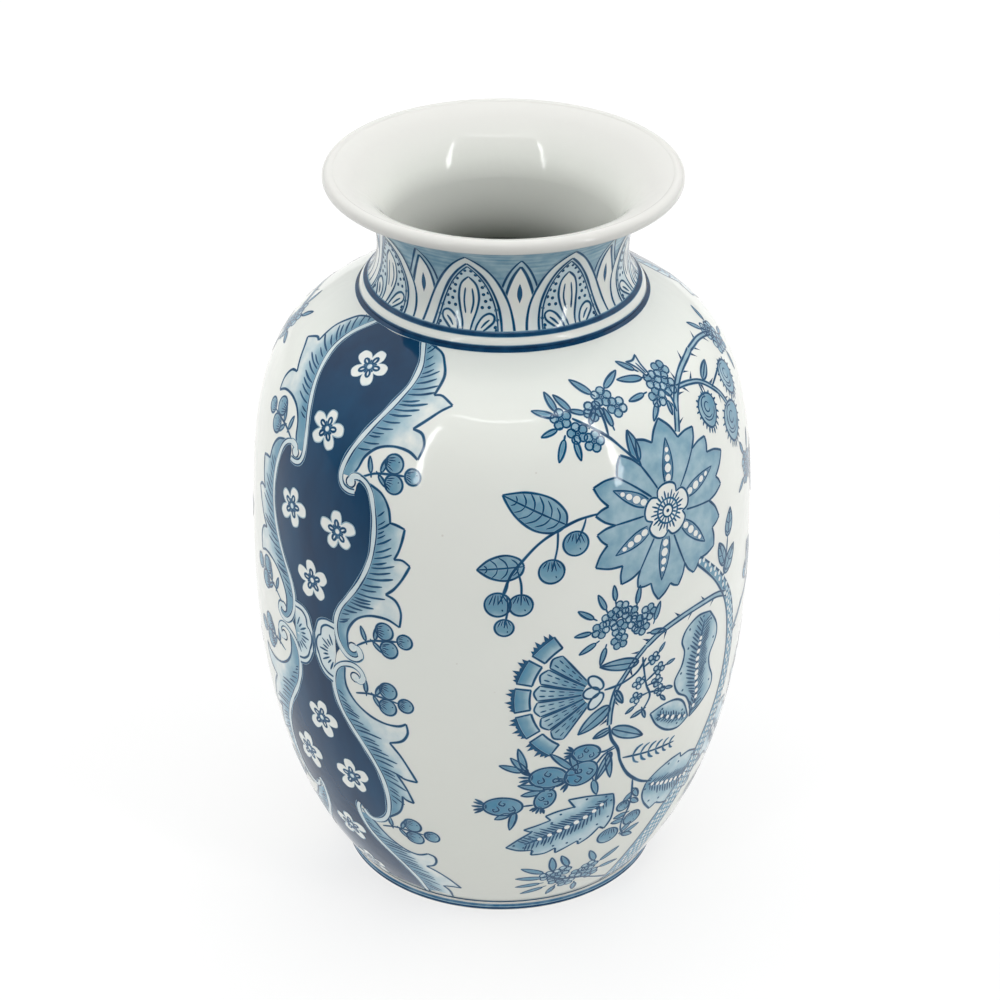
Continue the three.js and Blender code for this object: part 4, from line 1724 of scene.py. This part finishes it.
class NeckKit(Kit):
    """The neck needs more layers: its petals overlap, and motifs lie over the ground inside them."""

    def __init__(self, wall):
        super().__init__("neck", wall, 1.2)
        step = 0.026
        lifts = [WASH_LIFT + step * k for k in range(8)]
        self.wash.lift, self.ink.lift = lifts[:2]
        self.behind = Coat("neck_behind", wall, lifts[2], PALE, grid=1.2)
        self.behind_ink = Coat("neck_behind_ink", wall, lifts[3], INK, INK_EDGE, 1.2)
        self.pale.lift, self.detail.lift = lifts[4:6]
        self.ground = Coat("neck_ground", wall, lifts[5], PALE, grid=1.2)
        self.over = Coat("neck_over", wall, lifts[6], PALE, grid=1.2)
        self.top = Coat("neck_top", wall, lifts[7], INK, INK_EDGE, 1.2)

    def build(self):
        super().build()
        for coat in (self.behind, self.behind_ink, self.ground, self.over, self.top):
            coat.build()


def neck(kit):
    for k in range(NECK_PETALS):
        azimuth = NECK_FIRST + 360 / NECK_PETALS * k
        neck_gap(kit, azimuth + 180 / NECK_PETALS)
        neck_petal(kit, azimuth)


SLEEVE_FOOT, SLEEVE_STREAK = 19.5, 2.6


def neck_sleeve(coat):
    """The blue brushed round the neck behind the petals, in streaks that follow the turning wheel."""
    highest = coat.wall.ups[-1] - 0.3
    rows = math.ceil((highest - SLEEVE_FOOT) / 0.9)
    steps = SEGMENTS
    for j in range(rows + 1):
        up = SLEEVE_FOOT + (highest - SLEEVE_FOOT) * j / rows
        for i in range(steps + 1):
            azimuth = math.tau * i / steps
            streak = math.sin(SLEEVE_STREAK * up + 2.2 * math.sin(azimuth * 3))
            streak *= math.sin(azimuth * 5 + up * 0.2)
            spot = (360 * i / steps, up)
            place, normal = coat.wall.point(spot, coat.lift)
            coat.add(place, normal, 0.5 + 0.12 * streak, spot)
    for j in range(rows):
        for i in range(steps):
            a = j * (steps + 1) + i
            b = a + steps + 1
            coat.faces.append([a, a + 1, b + 1, b])


# ---------------------------------------------------------------- making the vase

foot_ring()
lower_body()
upper_body()
neck_collar()
flared_mouth()

for side, turn in (("front", 0), ("back", 180)):
    body_wall.turn = turn
    ground = Coat("band_ground_" + side, body_wall, WASH_LIFT, NAVY)
    band_kit = Kit("band_" + side, body_wall)
    panel_kit = Kit("panel_" + side, body_wall)
    dark_band(band_kit, ground)
    floral_panel(panel_kit)
    ground.build()
    band_kit.build()
    panel_kit.build()
body_wall.turn = 0

neck_kit = NeckKit(neck_wall)
sleeve = Coat("neck_sleeve", neck_wall, 0.012, WASH)
neck_sleeve(sleeve)
neck(neck_kit)
neck_kit.top.ring(4.3, 7.0, 0.9, 0.4, 0.8)
neck_kit.top.ring(0.0, 1.5, 0.95, 0, 0.5)
sleeve.build()
neck_kit.build()

wall_top = body_wall.ups[-1]
lines = Coat("body_lines", body_wall, DETAIL_LIFT, INK)
lines.ring(wall_top - 1.7, wall_top, 0.95, 0.2, 0)
lines.ring(0.2, 1.9, 0.9)
lines.build()
foot_wall = Wall(sunk(straight((FOOT_RADIUS, 0.8), (FOOT_RADIUS, FOOT_HEIGHT))))
foot_lines = Coat("foot_lines", foot_wall, INK_LIFT, INK)
foot_lines.ring(0.2, 1.4, 0.95, 0.2, 0.3)
foot_lines.ring(1.4, 2.9, 0.5, 0.3, 0.3)
foot_lines.build()


# ---------------------------------------------------------------- floor, light and camera


# The floor is lit from below, like a light table. In front of this y the light fades, because the glossy wall
# mirrors that part of the floor, and its dark blues would turn milky.
FLOOR_FRONT = -0.15
FLOOR_FADE = 0.3
FLOOR_SIZE = 8.0


def floor():
    mesh = bpy.data.meshes.new("floor")
    half = FLOOR_SIZE / 2
    corners = [(-half, -half, 0), (half, -half, 0), (half, half, 0), (-half, half, 0)]
    mesh.from_pydata(corners, [], [(0, 1, 2, 3)])
    s = Shader("floor")
    s.colour(s.mix(s.ramp(s.noise(3), 0.3, 0.7), (0.27, 0.27, 0.27), (0.25, 0.25, 0.25)))
    s.surface.inputs["Roughness"].default_value = 0.9
    s.surface.inputs["Specular IOR Level"].default_value = 0.1
    s.surface.inputs["Emission Color"].default_value = (1, 1, 1, 1)
    glow = s.ramp(s.axis("Y"), FLOOR_FRONT - FLOOR_FADE, FLOOR_FRONT, 0.12, 0.68)
    s.links.new(glow, s.surface.inputs["Emission Strength"])
    mesh.materials.append(s.material)
    piece = bpy.data.objects.new("floor", mesh)
    bpy.context.collection.objects.link(piece)


# The studio is a white tent. It opens towards the front, between these directions in degrees: azimuth from
# and to, with the front at 0 and right positive, then elevation from and to. Bright panels line the opening.
OPENING = (-37.0, 53.0, -90.0, 60.0)
TENT_LIGHT, TENT_TOP_LIGHT, OPENING_LIGHT = 0.6, 1.8, 0.05
LEFT_PANEL = ((-40.0, -37.0, 3.0, 47.0), 18.0)
RIGHT_PANEL = ((52.0, 56.0, -3.0, 49.0), 18.0)
TOP_PANEL = ((-38.0, 54.0, 59.5, 61.1), 12.0)


def lights():
    world = bpy.data.worlds.new("studio")
    world.use_nodes = True
    bpy.context.scene.world = world
    nodes, links = world.node_tree.nodes, world.node_tree.links
    place = nodes.new("ShaderNodeTexCoord").outputs["Generated"]
    split = nodes.new("ShaderNodeSeparateXYZ")
    links.new(place, split.inputs["Vector"])

    def number(operation, a, b=0.0):
        node = nodes.new("ShaderNodeMath")
        node.operation = operation
        for socket, value in zip(node.inputs, (a, b)):
            if isinstance(value, (int, float)):
                socket.default_value = value
            else:
                links.new(value, socket)
        return node.outputs["Value"]

    toward = number("MULTIPLY", split.outputs["Y"], -1.0)
    azimuth = number("MULTIPLY", number("ARCTAN2", split.outputs["X"], toward), 180 / math.pi)
    elevation = number("MULTIPLY", number("ARCSINE", split.outputs["Z"]), 180 / math.pi)

    def within(left, right, low, high):
        """1 between these directions, and 0 elsewhere."""

        def between(angle, first, last):
            return number("MULTIPLY", number("GREATER_THAN", angle, first), number("LESS_THAN", angle, last))

        return number("MULTIPLY", between(azimuth, left, right), between(elevation, low, high))

    height = number("MAXIMUM", split.outputs["Z"], 0.0)
    tent = number("ADD", number("MULTIPLY", height, TENT_TOP_LIGHT - TENT_LIGHT), TENT_LIGHT)
    opening = within(*OPENING)
    outside = number("MULTIPLY", number("SUBTRACT", 1.0, opening), tent)
    strength = number("ADD", outside, number("MULTIPLY", opening, OPENING_LIGHT))
    for place_of_panel, brightness in (LEFT_PANEL, RIGHT_PANEL, TOP_PANEL):
        strength = number("ADD", strength, number("MULTIPLY", within(*place_of_panel), brightness))
    background = nodes["Background"]
    background.inputs["Color"].default_value = (1.0, 1.0, 0.99, 1)
    links.new(strength, background.inputs["Strength"])


CAMERA_PLACE = Vector((0, -1.132, 0.804))
CAMERA_PITCH = 29.717  # degrees below the horizon
CAMERA_LEAN = 0.316  # degrees clockwise
LENS = 115.73
SENSOR_WIDTH = 36.0
SHIFT = -0.00157


def camera():
    data = bpy.data.cameras.new("camera")
    data.lens = LENS
    data.sensor_width = SENSOR_WIDTH
    data.shift_x = SHIFT
    data.clip_start, data.clip_end = 0.05, 20
    piece = bpy.data.objects.new("camera", data)
    bpy.context.collection.objects.link(piece)
    aim = Matrix.Rotation(math.radians(90 - CAMERA_PITCH), 4, "X")
    aim @= Matrix.Rotation(math.radians(CAMERA_LEAN), 4, "Z")
    piece.matrix_world = Matrix.Translation(CAMERA_PLACE) @ aim
    bpy.context.scene.camera = piece


floor()
lights()
camera()
bpy.context.scene.view_settings.view_transform = "Standard"
